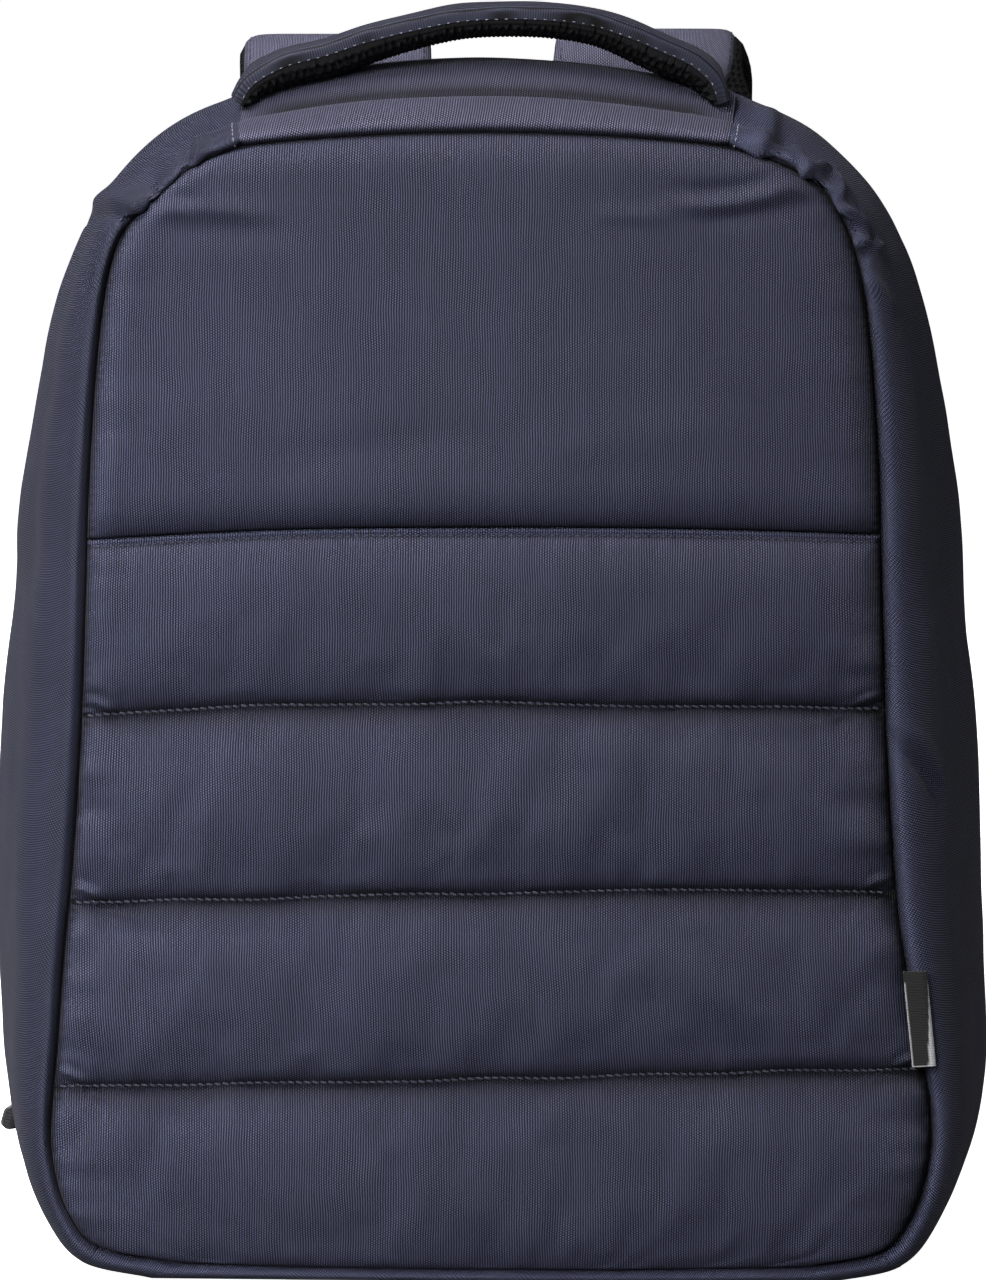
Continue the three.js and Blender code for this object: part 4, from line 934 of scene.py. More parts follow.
upper = {
    "puff": 6.5,
    "rows": 124,
    "columns": 236,
    "edgeRound": 10,
    "lowRound": 15,
    "topRound": 11,
    "lap": 4.5,  # how far the left gusset laps over the panel, and at what height
    "lapHeight": 346,
    "lapReach": 12,
    "gather": 0.8,
    "gatherReach": 8,
    "fineShare": 0.6,
    "sideSizes": (9, 4.5),
    "topSize": 10,
    "swell": 0.5,  # slow and fine unevenness of the padding
    "swellSize": 45,
    "ripple": 0.22,
    "rippleSize": 17,
    "ribShift": 7,  # the rib starts anew above the folded edge
}

# Soft creases of the upper panel, in millimetres from the middle and above the floor.
upperFolds = [
    {"start": (-108, 343), "end": (-92, 342), "width": 2.6, "height": -1.5, "bend": 1},
    {"start": (-106, 338.5), "end": (-72, 338), "width": 3.0, "height": 1.3, "bend": 1},
    {"start": (-100, 333), "end": (-64, 332), "width": 4.0, "height": -0.6},
    {"start": (62, 341), "end": (96, 346), "width": 2.6, "height": 1.5, "bend": -2},
    {"start": (60, 345.5), "end": (92, 350), "width": 2.8, "height": -1.1, "bend": -2},
    {"start": (72, 336), "end": (104, 341), "width": 3.0, "height": -1.0},
    {"start": (38, 338), "end": (58, 337), "width": 2.6, "height": 0.7},
    {"start": (98, 342), "end": (116, 318), "width": 5.0, "height": -0.8},
    {"start": (-60, 262), "end": (-10, 268), "width": 6.0, "height": -0.6},
    {"start": (20, 264), "end": (75, 272), "width": 7.0, "height": 0.5},
]


def upperPanel():
    low, high = pocketSeam + bag["gap"] / 2, halfOutline("front", [1.0])[0][1]
    heights = mix(low, high, seamSteps(upper["rows"], 0.35))
    c = panelColumns(upper["columns"])
    x, z = frontPlaces(heights, c, bag["seamArch"], None)
    fromSide = (1 - np.abs(c[None])) * frontHalfAt(heights)[:, None]
    fromSide = fromSide - np.where(x < 0, upper["lap"] * bell(z - upper["lapHeight"], upper["lapReach"]), 0)
    fromLow = heights[:, None] - low
    fromTop = (high - heights)[:, None] * np.ones_like(x)
    relief = upper["puff"] * edgeRise(fromSide, upper["edgeRound"]) * edgeRise(fromLow, upper["lowRound"])
    relief *= edgeRise(fromTop, upper["topRound"])
    calm = smooth(fromSide, 1, 9) * smooth(fromTop, 1, 8) * smooth(fromLow, 0, 8)
    relief += foldHeights(x, z, upperFolds) * calm
    relief += upper["swell"] * softNoise(x, z, upper["swellSize"], 21) * calm
    relief += upper["ripple"] * softNoise(x, z, upper["rippleSize"], 22) * calm
    whichSide = np.sign(x) * 40
    coarse, fine = upper["sideSizes"]
    sideWaves = softNoise(z, whichSide, coarse, 25) + upper["fineShare"] * softNoise(z, whichSide, fine, 27)
    relief += upper["gather"] * sideWaves * np.exp(-fromSide / upper["gatherReach"]) * smooth(fromSide, 0, 3)
    puckers = sidePuckers(z, fromSide)
    relief -= puckerLook["depth"] * puckers * smooth(fromTop, 2, 10)
    topWaves = softNoise(x, 0, upper["topSize"], 26)
    relief += upper["gather"] * topWaves * np.exp(-fromTop / upper["gatherReach"]) * smooth(fromTop, 0, 4)
    y = frontPlane(z) - bellyAt(z, c[None]) - relief
    seen = np.stack([x, y, z], -1)
    hidden = np.stack([x, frontPlane(z) - bellyAt(z, c[None]) + bag["frontBacking"], z], -1)
    # painted shade along the top, sides and lower edge and in the puckers; edgeShade adds painted shade on the right
    # and a painted highlight on the left
    topShade = paintedShadeAndHighlight["top"] * bell(fromTop, paintedShadeAndHighlight["topReach"])
    sideShade = paintedShadeAndHighlight["side"] * bell(fromSide, paintedShadeAndHighlight["sideReach"])
    lowShade = paintedShadeAndHighlight["aboveHem"] * bell(fromLow, paintedShadeAndHighlight["aboveHemReach"])
    seamShade = np.maximum(np.maximum(topShade, sideShade), lowShade)
    seamShade = seamShade + edgeShade(x, fromSide) + paintedShadeAndHighlight["pucker"] * puckers
    place = placeOf(x, z + upper["ribShift"], seamShade)
    piece = gridPiece("upperPanel", seen, hidden, place, navyCloth, skip=(9, 8))
    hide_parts("front_upper_panel")


quiltedPanel()
upperPanel()
print("front panels made")

gusset = {
    "pitch": 1.15,  # spacing of columns round the bag
    "rollSteps": 54,
    "sideSteps": 46,
    "rollCrest": 4.2,  # where the roll gets a painted highlight, in millimetres from its seam
    "paintedHighlight": 1.2,
    "lapPlace": 30,  # where the left shoulder bulges over the front
    "seamShare": 1 / 14,  # where the base panel meets a side, as a share up the half outline
    "turnedWall": 0.5,
    "wallRows": 6,  # rows over which the wall grows to its whole thickness
}

# Folds of the sides, in millimetres down along the front seam from the handle's end and back from that seam.
sideFolds = {
    "left": [
        {"start": (52.5, 70), "end": (36, -18), "width": 4.6, "height": 2.0, "skew": 2.2},
        {"start": (57, 60), "end": (40.5, -18), "width": 1.7, "height": -1.9},
        {"start": (33, 1), "end": (28, 16), "width": 2.6, "height": -1.3},
        {"start": (16, 1), "end": (11, 14), "width": 2.2, "height": 1.4},
        {"start": (20, 1), "end": (16, 12), "width": 2.2, "height": -1.7},
        {"start": (9.5, 1), "end": (7.5, 14), "width": 2.0, "height": -1.2},
        {"start": (152, 14), "end": (180, 84), "width": 14, "height": -1.4},
    ],
    "right": [
        {"start": (12, 60), "end": (10, -5), "width": 4.6, "height": 2.2, "skew": 2.2},
        {"start": (16, 2), "end": (16, 40), "width": 2.8, "height": -1.5},
        {"start": (18.5, 18), "end": (26, 2), "width": 1.7, "height": 1.8},
        {"start": (25.5, 2), "end": (32, 26), "width": 1.8, "height": 1.9},
        {"start": (23.5, 24), "end": (25, 10), "width": 2.0, "height": -1.4},
        {"start": (31.5, 24), "end": (38, 4), "width": 1.7, "height": 1.9},
        {"start": (31, 1), "end": (32, 12), "width": 2.2, "height": -1.6},
        {"start": (40.5, 2), "end": (51, 11), "width": 1.8, "height": 1.8},
        {"start": (37.5, 19), "end": (46, 14), "width": 2.4, "height": -1.7},
        {"start": (45.5, 0), "end": (49.5, 5), "width": 1.9, "height": -1.9},
        {"start": (53.5, 3), "end": (60, 19), "width": 2.2, "height": 2.2},
        {"start": (54.5, 15), "end": (58, 2), "width": 2.0, "height": -1.9},
        {"start": (65, 3), "end": (78, 13), "width": 2.5, "height": 1.4},
        {"start": (212, 4), "end": (235, 25), "width": 3.2, "height": -2.8, "bend": 0.8},
        {"start": (206, 6), "end": (230, 28), "width": 3.6, "height": 1.6},
        {"start": (162, 20), "end": (188, 90), "width": 14, "height": -1.2},
    ],
}


def sectionSteps():
    roll = np.linspace(0, 4, gusset["rollSteps"])
    side = np.linspace(4, zipFront, gusset["sideSteps"])
    return np.concatenate([roll, side[1:]])


# Rows of cloth turned in behind the front panels, from their hidden edge to the seam.
seamTurn = [
    {"inwards": 4.5, "back": 3.4},
    {"inwards": 2.0, "back": 3.2},
    {"inwards": 0.7, "back": 2.8},
    {"inwards": 0.15, "back": 1.4},
]


# Directions from a seam line towards the middle of the front.
def seamInwards(edge):
    along = np.gradient(edge, axis=0)
    inwards = unit(np.stack([along[:, 2], 0 * along[:, 0], -along[:, 0]], 1))
    centre = np.array([0, 0, bag["height"] / 2])
    return inwards * np.sign((inwards * (centre - edge)).sum(1, keepdims=True))


def withSeamTurn(grid):
    edge = grid[0]
    inwards = seamInwards(edge)
    turned = [edge + inwards * row["inwards"] + np.array([0, row["back"], 0]) for row in seamTurn]
    return np.concatenate([np.stack(turned), grid])


# Thickness of the wall: thin where the cloth is turned in, whole from a little past the seam.
def wallAt(rows):
    thickness = np.full(rows, float(bag["wall"]))
    turned = len(seamTurn) + 1
    thickness[:turned] = gusset["turnedWall"]
    thickness[turned : turned + gusset["wallRows"]] = np.linspace(0.6, bag["wall"], gusset["wallRows"])
    return thickness[:, None, None]


sideLook = {
    "foldCalm": (0.2, 2.4),  # folds begin and are whole this far behind the front seam
    "lapReach": 15,
    "lapCalm": (5, 16),
    "lapDrop": 0.5,
    "swell": 0.5,  # slow and fine unevenness of the cloth
    "swellSize": 34,
    "ripple": 0.2,
    "rippleSize": 13,
    "rippleCalm": (4, 22),
    "rollWave": 0.3,
    "rollWaveSize": 15,
    "rollPlace": 7,
    "crumple": {-1: 0.2, 1: 0.4},  # small crumples on the shoulders
    "crumpleSize": 7,
    "crumplePlace": 10,
    "crumpleReach": 12,
    "shoulder": (0.78, 0.86),  # shares of the way up where it begins and is whole
    "jointDip": 0.5,
    "jointReach": 1.2,
    "flapHighlight": {-1: 0, 1: 1.2},  # painted highlight beside the handle's end
    "flapEnd": (8.5, 12.5),
    # painted highlight on the right roll and painted shade on the left one
    "rollLight": {-1: -0.5, 1: 1.0},
    "rollLightPlace": 5,
    "rollLightReach": 4,
}


def sideGusset(part):
    side = 1 if part == "right" else -1
    shares = evenShares(gusset["pitch"], gusset["seamShare"], 1)
    sections = sectionSteps()
    grid = gussetGrid(part, shares, sections)
    normals = gridNormals(grid, towards=(side, 0, 0))
    run, back = runLength(grid, 1), runLength(grid, 0)
    fromJoint = run[:1, -1:] - run[:1]
    folds = foldHeights(fromJoint + 0 * back, back, sideFolds[part]) * smooth(back, *sideLook["foldCalm"])
    lap = upper["lap"] * bell(fromJoint - gusset["lapPlace"], sideLook["lapReach"]) * (side < 0)
    lap = lap * (1 - smooth(back, *sideLook["lapCalm"]))
    fine = sideLook["swell"] * softNoise(run, back, sideLook["swellSize"], 31 + side)
    fine += sideLook["ripple"] * softNoise(run, back, sideLook["rippleSize"], 41 + side)
    fine = fine * smooth(back, *sideLook["rippleCalm"])
    rollWaves = sideLook["rollWave"] * softNoise(run, side * 30, sideLook["rollWaveSize"], 51)
    rollWaves = rollWaves * bell(back - sideLook["rollPlace"], 7) * smooth(back, 0, 2)
    crumple = sideLook["crumple"][side] * softNoise(run + back, back - run, sideLook["crumpleSize"], 61 + side)
    crumple *= smooth(shares[None], *sideLook["shoulder"]) * smooth(back, 0.5, 3)
    crumple *= bell(back - sideLook["crumplePlace"], sideLook["crumpleReach"])
    jointDip = -sideLook["jointDip"] * bell(run[:, -1:] - run, sideLook["jointReach"])
    seen = grid + normals * (folds + fine + rollWaves + crumple + jointDip)[..., None]
    seen = seen + (seamInwards(grid[0]) - np.array([0, sideLook["lapDrop"], 0])) * lap[..., None]
    # painted light: a highlight beside the right handle end and on the right roll, painted shade on the left roll
    light = sideLook["flapHighlight"][side] * (1 - smooth(fromJoint, *sideLook["flapEnd"])) + 0 * back
    light += sideLook["rollLight"][side] * bell(back - sideLook["rollLightPlace"], sideLook["rollLightReach"])
    return dressGusset(f"{part}Gusset", f"{part}_gusset", seen, (side, 0, 0), paintedShadedSideCloth, light)


def dressGusset(name, node, grid, towards, material, light=0):
    seen = withSeamTurn(grid)
    normals = gridNormals(seen, towards=towards)
    hidden = seen - normals * wallAt(len(seen))
    run, back = runLength(seen, 1), runLength(seen, 0)
    turned = back[len(seamTurn)][None]
    fromSeam = np.maximum(back - turned, 0)
    paintedHighlight = gusset["paintedHighlight"] * bell(fromSeam - gusset["rollCrest"], 1.5)
    paintedLighter = np.concatenate([np.zeros((len(seamTurn), grid.shape[1])), light + np.zeros(grid.shape[:2])])
    # painted shade at the front and back seams, less a painted highlight on the roll crest and the caller's painted
    # light, which is painted shade where below 0
    seamShade = np.maximum(2.4 * bell(fromSeam, 1.0), bell(back[-1:] - back, 2)) - paintedHighlight - paintedLighter
    piece = gridPiece(name, seen, hidden, placeOf(run, back, seamShade), material, skip=(7, 6))
    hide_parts(node)
    return seen[len(seamTurn) :], normals[len(seamTurn) :]


# The fold across the top gusset, the ridge behind it and the painted shade just behind the fold's valley, in
# millimetres from the front seam.
topFold = {
    "valley": 31,
    "depth": 3.0,
    "valleyReach": 5.5,
    "ridge": 49,
    "ridgeHeight": 2.4,
    "ridgeReach": 9,
    "shade": 37,
    "reach": 2.8,
    "dark": 2.4,
    "swell": 0.5,
    "swellSize": 30,
}


def topGusset():
    shares = np.linspace(1, -1, 120)
    sections = sectionSteps()
    grid = gussetGrid("top", shares, sections)
    normals = gridNormals(grid, towards=(0, 0, 1))
    run, back = runLength(grid, 1), runLength(grid, 0)
    waves = topFold["swell"] * softNoise(run, back, topFold["swellSize"], 71) * smooth(back, 4, 20)
    valley = smooth(np.abs(shares), 1.02, 0.8)
    waves -= topFold["depth"] * bell(back - topFold["valley"], topFold["valleyReach"]) * valley
    waves += topFold["ridgeHeight"] * bell(back - topFold["ridge"], topFold["ridgeReach"])
    joints = bell(run, sideLook["jointReach"]) + bell(run[:, -1:] - run, sideLook["jointReach"])
    waves -= sideLook["jointDip"] * joints
    # painted shade in a band just behind the fold's valley
    light = -topFold["dark"] * bell(back - topFold["shade"], topFold["reach"]) * valley
    return dressGusset("topGusset", "top_gusset", grid + normals * waves[..., None], (0, 0, 1), paintedLitTopCloth, light)[0]


def basePanel():
    cut = gusset["seamShare"]
    sideShares = np.linspace(cut, 0, 12)
    sections = np.concatenate([np.linspace(0, 4, 24), np.linspace(4, zipRear, 40)[1:]])
    left = gussetGrid("left", sideShares, sections)
    middle = gussetGrid("base", np.linspace(-1, 1, 70)[1:-1], sections)
    right = gussetGrid("right", sideShares[::-1], sections)
    grid = np.concatenate([left, middle, right], 1)
    dressGusset("basePanel", "base_panel", grid, (0, 0, -1), paintedShadedSideCloth)


jointStitch = {"pitch": 2.7, "length": 1.7, "radius": 0.2, "rise": 0.2}


# A row of light thread beside each seam that holds a handle end.
def jointStitches():
    lines = []
    for part in ("left", "right"):
        seen, normals = sideGusset(part)
        column = seen.shape[1] - 3
        rows = slice(2, gusset["rollSteps"] + 2)
        lines.append((seen[rows, column], normals[rows, column]))
    stitchMesh("jointStitches", lines, lightThread, "navy_cloth", **jointStitch)


jointStitches()
topSurface = topGusset()
basePanel()
print("gussets made")

def ringShares():
    up = evenShares(2.2)
    parts = [("right", up[:-1]), ("top", np.linspace(1, -1, 70)[:-1]), ("left", up[::-1][:-1])]
    return [*parts, ("base", np.linspace(-1, 1, 90)[:-1])]


def ringGrid(sections, parts):
    return np.concatenate([gussetGrid(part, shares, sections) for part, shares in parts], 1)


def rearBand():
    sections = np.linspace(zipRear, backSeam, 14)
    grid = ringGrid(sections, ringShares())
    normals = gridNormals(grid, towards=(1, 0, 0), ring=True)
    run, back = runLength(grid, 1), runLength(grid, 0)
    seen = grid + normals * (0.8 * np.sin(math.pi * (sections[:, None] - zipRear)))[..., None]
    hidden = grid - normals * bag["wall"]
    # the third value is painted shade beside the seam at the zip
    place = placeOf(run, back, bell(back, 2))
    piece = gridPiece("rearBand", seen, hidden, place, paintedShadedSideCloth, skip=(3, 6), ring=True)
    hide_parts("rear_band")


zipLook = {"recess": 0.5, "tape": 1.2, "toothPitch": 1.5, "toothLength": 4.6, "toothRadius": 0.62}


def zipStrip():
    cut = gusset["seamShare"]
    up = evenShares(2.0, cut, 1)
    parts = [("right", up[:-1]), ("top", np.linspace(1, -1, 80)[:-1]), ("left", up[::-1])]
    sections = np.linspace(zipFront, zipRear, 9)
    grid = ringGrid(sections, parts)
    normals = gridNormals(grid, towards=(0, 0, 1))
    run, back = runLength(grid, 1), runLength(grid, 0)
    seen = grid - normals * zipLook["recess"]
    hidden = seen - normals * zipLook["tape"]
    place = placeOf(back, run, bell(back - back[-1:] / 2, 1))
    piece = gridPiece("zipTape", seen, hidden, place, webbing, skip=(4, 6))
    middle = seen.shape[0] // 2
    line, lineNormals = seen[middle], normals[middle]
    length = run[middle, -1]
    places = np.arange(2, length - 2, zipLook["toothPitch"])
    at = lambda values: np.stack([np.interp(places, run[middle], values[:, n]) for n in range(3)], 1)
    centre, outwards = at(line), unit(at(lineNormals))
    across = unit(at(seen[-1]) - at(seen[0]))
    half = zipLook["toothLength"] / 2
    lines = [
        (np.stack([c - a * half + o * 0.5, c + a * half + o * 0.5]), np.stack([o, o]))
        for c, a, o in zip(centre, across, outwards)
    ]
    stitchMesh(
        "zipTeeth",
        lines,
        blackPlastic,
        "black_webbing",
        length=zipLook["toothLength"],
        pitch=zipLook["toothLength"] - 0.01,
        radius=zipLook["toothRadius"],
        rise=0.2,
    )
    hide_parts("zip_strip")


rearBand()
zipStrip()

backLook = {
    "backing": 3.0,
    "puff": 8.0,
    "rows": 130,
    "columns": 150,
    "lowFlat": 8,  # flat border below the pads
    "lowRound": 26,
    "topRound": 12,
    "channels": (95, 175, 255),  # heights of the channels across the pads
    "channelDepth": 0.3,
    "channelReach": 4.0,
    "spine": (0.1, 0.2),  # shares of the half width where the channels begin and are whole
    "swell": 0.25,
    "swellSize": 25,
    "yokeHeight": 44,
    "yokePuff": 1.2,
    "yokeRows": 30,
    "yokeColumns": 130,
}
yokeSeam = backTop - backLook["yokeHeight"]
padRows = [
    {"across": 0, "swell": 0.2},
    {"across": 0.24, "swell": 0.9},
    {"across": 0.48, "swell": 1},
    {"across": 0.68, "swell": 1},
    {"across": 0.85, "swell": 0.55},
    {"across": 0.95, "swell": 0.12},
    {"across": 1, "swell": 0},
]


def backHalfAt(z):
    line = halfOutline("back", np.linspace(0, 1, 600))
    return np.interp(z, line[:, 1], line[:, 0])


def backPanel():
    heights = mix(bag["backBottom"], yokeSeam - bag["gap"] / 2, seamSteps(backLook["rows"], 0.5))
    c = panelColumns(backLook["columns"])
    half = backHalfAt(heights)[:, None] - bag["gap"]
    x, z = c[None] * half, heights[:, None] + 0 * c[None]
    rows = columnsOf(padRows, "across", "swell")
    pads = np.interp(np.abs(c), rows[:, 0], rows[:, 1])[None]
    softer = np.array([1, 2, 3, 2, 1]) / 9
    pads = np.convolve(np.pad(pads[0], 2, mode="edge"), softer, mode="valid")[None]
    fromLow, fromTop = z - bag["backBottom"], yokeSeam - z
    swell = edgeRise(np.maximum(fromLow - backLook["lowFlat"], 0), backLook["lowRound"])
    swell = swell * edgeRise(fromTop, backLook["topRound"])
    lines = sum(bell(z - level, backLook["channelReach"]) for level in backLook["channels"])
    channels = 1 - backLook["channelDepth"] * lines * smooth(np.abs(c), *backLook["spine"])
    relief = backLook["puff"] * pads * swell * channels
    relief += backLook["swell"] * softNoise(x, z, backLook["swellSize"], 81) * swell * pads
    face = yBack + bag["gap"]
    y = face + backLook["backing"] + relief
    seen = np.stack([x, y, z], -1)
    hidden = np.stack([x, np.full_like(x, face), z], -1)
    place = placeOf(x, z, 0)
    piece = gridPiece("backPanel", seen, hidden, place, spacerMesh, skip=(8, 8))
    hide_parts("back_panel")


def backYoke():
    low, high = yokeSeam + bag["gap"] / 2, halfOutline("back", [1.0])[0][1]
    heights = mix(low, high, np.linspace(0, 1, backLook["yokeRows"]))
    c = panelColumns(backLook["yokeColumns"])
    half = backHalfAt(heights)[:, None] - bag["gap"]
    share = ((heights - low) / (high - low))[:, None]
    x = c[None] * half
    z = heights[:, None] + (backTop - high) * bow(c[None]) * smooth(share, 0.3, 1)
    face = yBack + bag["gap"]
    relief = backLook["yokePuff"] * edgeRise(share + 0.15, 0.5) * edgeRise(1 - share, 0.4) * bow(c[None])
    seen = np.stack([x, face + backLook["backing"] + relief, z], -1)
    hidden = np.stack([x, np.full_like(x, face), z], -1)
    piece = gridPiece("backYoke", seen, hidden, placeOf(x, z, 0), navyCloth, skip=(6, 6))
    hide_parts("back_yoke")
    normals = gridNormals(seen, towards=(0, 1, 0))
    stitchMesh("yokeStitches", [(seen[3, 3:-3], normals[3, 3:-3])], navyThread, "navy_cloth")


backPanel()
backYoke()
print("back made")


def framesAlong(guides, count):
    shares = np.linspace(0, 1, count)
    points = [g[0] for g in guides]
    p = curveAt(points, shares, 0.25)
    ahead = curveAt(points, shares + 1e-4, 0.25) - curveAt(points, shares - 1e-4, 0.25)
    along = unit(ahead)
    place = shares * (len(guides) - 1)
    across = np.stack([np.interp(place, np.arange(len(guides)), [g[1][n] for g in guides]) for n in range(3)], 1)
    across = unit(across - along * (across * along).sum(1, keepdims=True))
    return {"p": p, "across": across, "along": along, "out": np.cross(across, along), "t": shares}


def stripGrid(frames, a, height):
    spread = np.broadcast_to(a, (len(frames["p"]), a.shape[-1]))[..., None]
    return frames["p"][:, None] + frames["across"][:, None] * spread + frames["out"][:, None] * height[..., None]


# Cross section of a padded strip: shares of its half width, with the edge rounded off.
def paddedEdge(a, low):
    return mix(low, 1, (1 - np.abs(a) ** 8) ** (1 / 3))


handle = {
    "halfSpan": 75.5,
    "shift": -2.5,
    "rise": 14.6,
    "setBack": 16,
    "width": 30,
    "thickness": 8.6,
    "skin": 1.3,
    "padWall": 0.5,
    "clearance": 0.3,
    "endDrop": 5.5,  # how far the front edge sweeps down and outwards at each end
    "endOut": 2.0,
    "pinch": 0.8,
    "pinchReach": 0.16,
    "steps": 320,
    "meshPitch": 3.0,
    "meshRise": 1.0,
    "meshDrop": 2.3,  # how far the mesh underside hangs below the CAD pad, and more on the flanks
    "flankDrop": 1.6,
    "coverEdge": 0.1,
    "dimple": 0.3,
    "dimpleSize": 14,
    "sweepEnd": 0.2,  # share of the length over which the ends are swept out and down
    "sweepPower": 1.5,
    "flankPlace": 0.22,
    "flankReach": 0.1,
    "padWidth": 0.985,  # share of the cover's width
    "lumpFloor": 0.3,
    "stitchDrop": 1.05,
}
handleRows = [
    {"out": -1, "up": 0},
    {"out": -0.97, "up": 0.13},
    {"out": -0.85, "up": 0.3},
    {"out": -0.66, "up": 0.47},
    {"out": -0.48, "up": 0.66},
    {"out": -0.27, "up": 0.84},
    {"out": -0.08, "up": 0.965},
    {"out": 0.1, "up": 1},
    {"out": 0.3, "up": 0.98},
    {"out": 0.5, "up": 0.88},
    {"out": 0.64, "up": 0.73},
    {"out": 0.8, "up": 0.5},
    {"out": 0.92, "up": 0.32},
    {"out": 0.985, "up": 0.17},
    {"out": 1, "up": 0},
]


def topHeightAt(x):
    crest = halfOutline("wide", [1.0])[0]
    return mix(crest[1], bag["height"], bow(min(1, abs(x) / crest[0])))


# Relief of thick knitted mesh: round lumps in staggered rows.
def meshLumps(u, v, pitch):
    row = np.floor(v / pitch)
    du = (u / pitch + 0.5 * (row % 2)) % 1 - 0.5
    dv = (v / pitch) % 1 - 0.5
    return np.clip(1 - 2.2 * np.hypot(du, dv), 0, 1)


# The underside of the handle lifted clear of the top gusset, but not through its own upper side.
def clearOfTop(underside, upperSide):
    rows, columns = topSurface.shape[:2]
    index = np.arange(rows * columns).reshape(rows, columns)
    faces = np.stack([index[:-1, :-1], index[:-1, 1:], index[1:, 1:], index[1:, :-1]], -1).reshape(-1, 4)
    tree = BVHTree.FromPolygons(topSurface.reshape(-1, 3).tolist(), faces.tolist())
    down, above = Vector((0, 0, -1)), Vector((0, 0, 60))
    hits = [tree.ray_cast(Vector(point) + above, down)[0] for point in underside.reshape(-1, 3)]
    floorHeights = np.array([hit.z + handle["clearance"] if hit else -1e3 for hit in hits]).reshape(underside.shape[:2])
    lifted = underside.copy()
    lifted[..., 2] = np.maximum(lifted[..., 2], np.minimum(floorHeights, upperSide[..., 2] - handle["padWall"]))
    return lifted


handleStitch = {"pitch": 3.1, "length": 1.0, "radius": 0.14, "rise": 0.16}


def carryHandle():
    foot = topHeightAt(handle["halfSpan"] - abs(handle["shift"]) - handle["thickness"] / 2) + bag["gap"]
    guides = [
        (
            (
                handle["shift"] + row["out"] * handle["halfSpan"],
                handle["setBack"],
                mix(foot, bag["height"] + handle["rise"], row["up"]),
            ),
            (0, -1, 0),
        )
        for row in handleRows
    ]
    frames = framesAlong(guides, handle["steps"])
    ends = np.minimum(frames["t"], 1 - frames["t"])[:, None]
    thick = handle["thickness"] * mix(handle["pinch"], 1, smooth(ends, 0, handle["pinchReach"])) / 2
    a = np.sin(np.linspace(-1, 1, 61) * math.pi / 2)
    half = handle["width"] / 2
    run = (np.cumsum(np.linalg.norm(np.diff(frames["p"], axis=0, prepend=frames["p"][:1]), axis=1)))[:, None]
    top = thick * paddedEdge(a, handle["coverEdge"])[None]
    dimple = handle["dimple"] * softNoise(run, a[None] * half, handle["dimpleSize"], 91) * smooth(ends, 0.02, 0.1)
    inFront = np.clip(0.5 + 0.5 * a * frames["across"][0, 1] * -1, 0, 1)[None]
    sweep = inFront * (1 - smooth(ends, 0, handle["sweepEnd"])) ** handle["sweepPower"]
    outwards = np.sign(frames["t"] - 0.5)[:, None]
    swept = np.stack([outwards * handle["endOut"] * sweep, 0 * sweep, -handle["endDrop"] * sweep], -1)
    cover = stripGrid(frames, a * half, top + dimple) + swept
    coverInside = stripGrid(frames, a * half, top - handle["skin"]) + swept
    # the third value is painted shade along both edges of the cover
    place = placeOf(a[None] * half + 0 * run, run + 0 * a[None], bell(1 - np.abs(a[None]), 0.03) + 0 * run)
    piece = gridPiece("handleCover", cover, coverInside, place, handleCloth, skip=(6, 6))
    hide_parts("handle_cover")
    flank = bell(ends - handle["flankPlace"], handle["flankReach"])
    drop = handle["meshDrop"] * smooth(ends, -0.03, 0.05) + handle["flankDrop"] * flank
    padTop = top - handle["skin"] - bag["gap"]
    padBottom = np.minimum(-(thick + drop) * mix(0.3, 1, np.sqrt(1 - a[None] ** 4)), padTop - handle["padWall"])
    padReach = a * half * handle["padWidth"]
    pad = stripGrid(frames, padReach, padBottom) + swept
    lumps = meshLumps(run, runLength(pad, 1), handle["meshPitch"]) * smooth(ends, 0.005, 0.03)
    lumps = (lumps - handle["lumpFloor"]) * smooth(1 - np.abs(a[None]), 0.0005, 0.006)
    pad = pad + gridNormals(pad, towards=(0, 0, -1)) * (handle["meshRise"] * lumps)[..., None]
    padInside = stripGrid(frames, padReach, padTop) + swept
    pad = clearOfTop(pad, padInside)
    padPiece = gridPiece("handlePad", pad, padInside, place, spacerMesh, skip=(6, 6))
    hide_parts("handle_pad")
    lines = []
    for edge, sign in ((0, -1), (-1, 1)):
        outwards = frames["across"][6:-6] * sign
        lines.append((cover[6:-6, edge] - frames["out"][6:-6] * handle["stitchDrop"], outwards))
    stitchMesh("handleStitches", lines, lightThread, "navy_cloth", **handleStitch)


carryHandle()

strap = {
    "offset": 53.5,
    "shift": 1,
    "splay": 40,
    "topWidth": 64,
    "endWidth": 48,
    "tipWidth": 34,
    "fillStart": 0.08,
    "fillEnd": 0.3,
    "taperStart": 0.35,
    "tipStart": 0.94,
    "thickness": 11,
    "rootShare": 0.4,
    "tipShare": 0.5,
    "skin": 1.3,
    "rise": 8,
    "leftDrop": 2,
    "endHeight": 152,
    "standOff": 46,
    "steps": 260,
    "coverTrim": {-1: (1.2, 1.2), 1: (6.0, 12.0)},  # bare outer edge at the crest and 24 mm below it, in front
    "padReach": {-1: (0.3, 0.5), 1: (-3.6, 1.5)},
    "innerReach": {-1: (0, 0), 1: (2.5, 5.0)},
    "topEdge": 0.2,  # roundness of the edges of the cover and of the pad
    "padEdge": 0.4,
    "dimple": 0.3,
    "dimpleSize": 30,
    "edgeDip": 0.7,
    "edgeDipReach": 0.09,
    "frontEnd": (0.36, 0.5),  # shares of the length that end the part seen from the front
    "belowDrop": (2, 26),
    "belowEnd": (0.33, 0.42),
    "stitchPitch": 3.2,
    "stitchLength": 2.4,
    "stitchRadius": 0.22,
    "stitchColumn": 7,
}
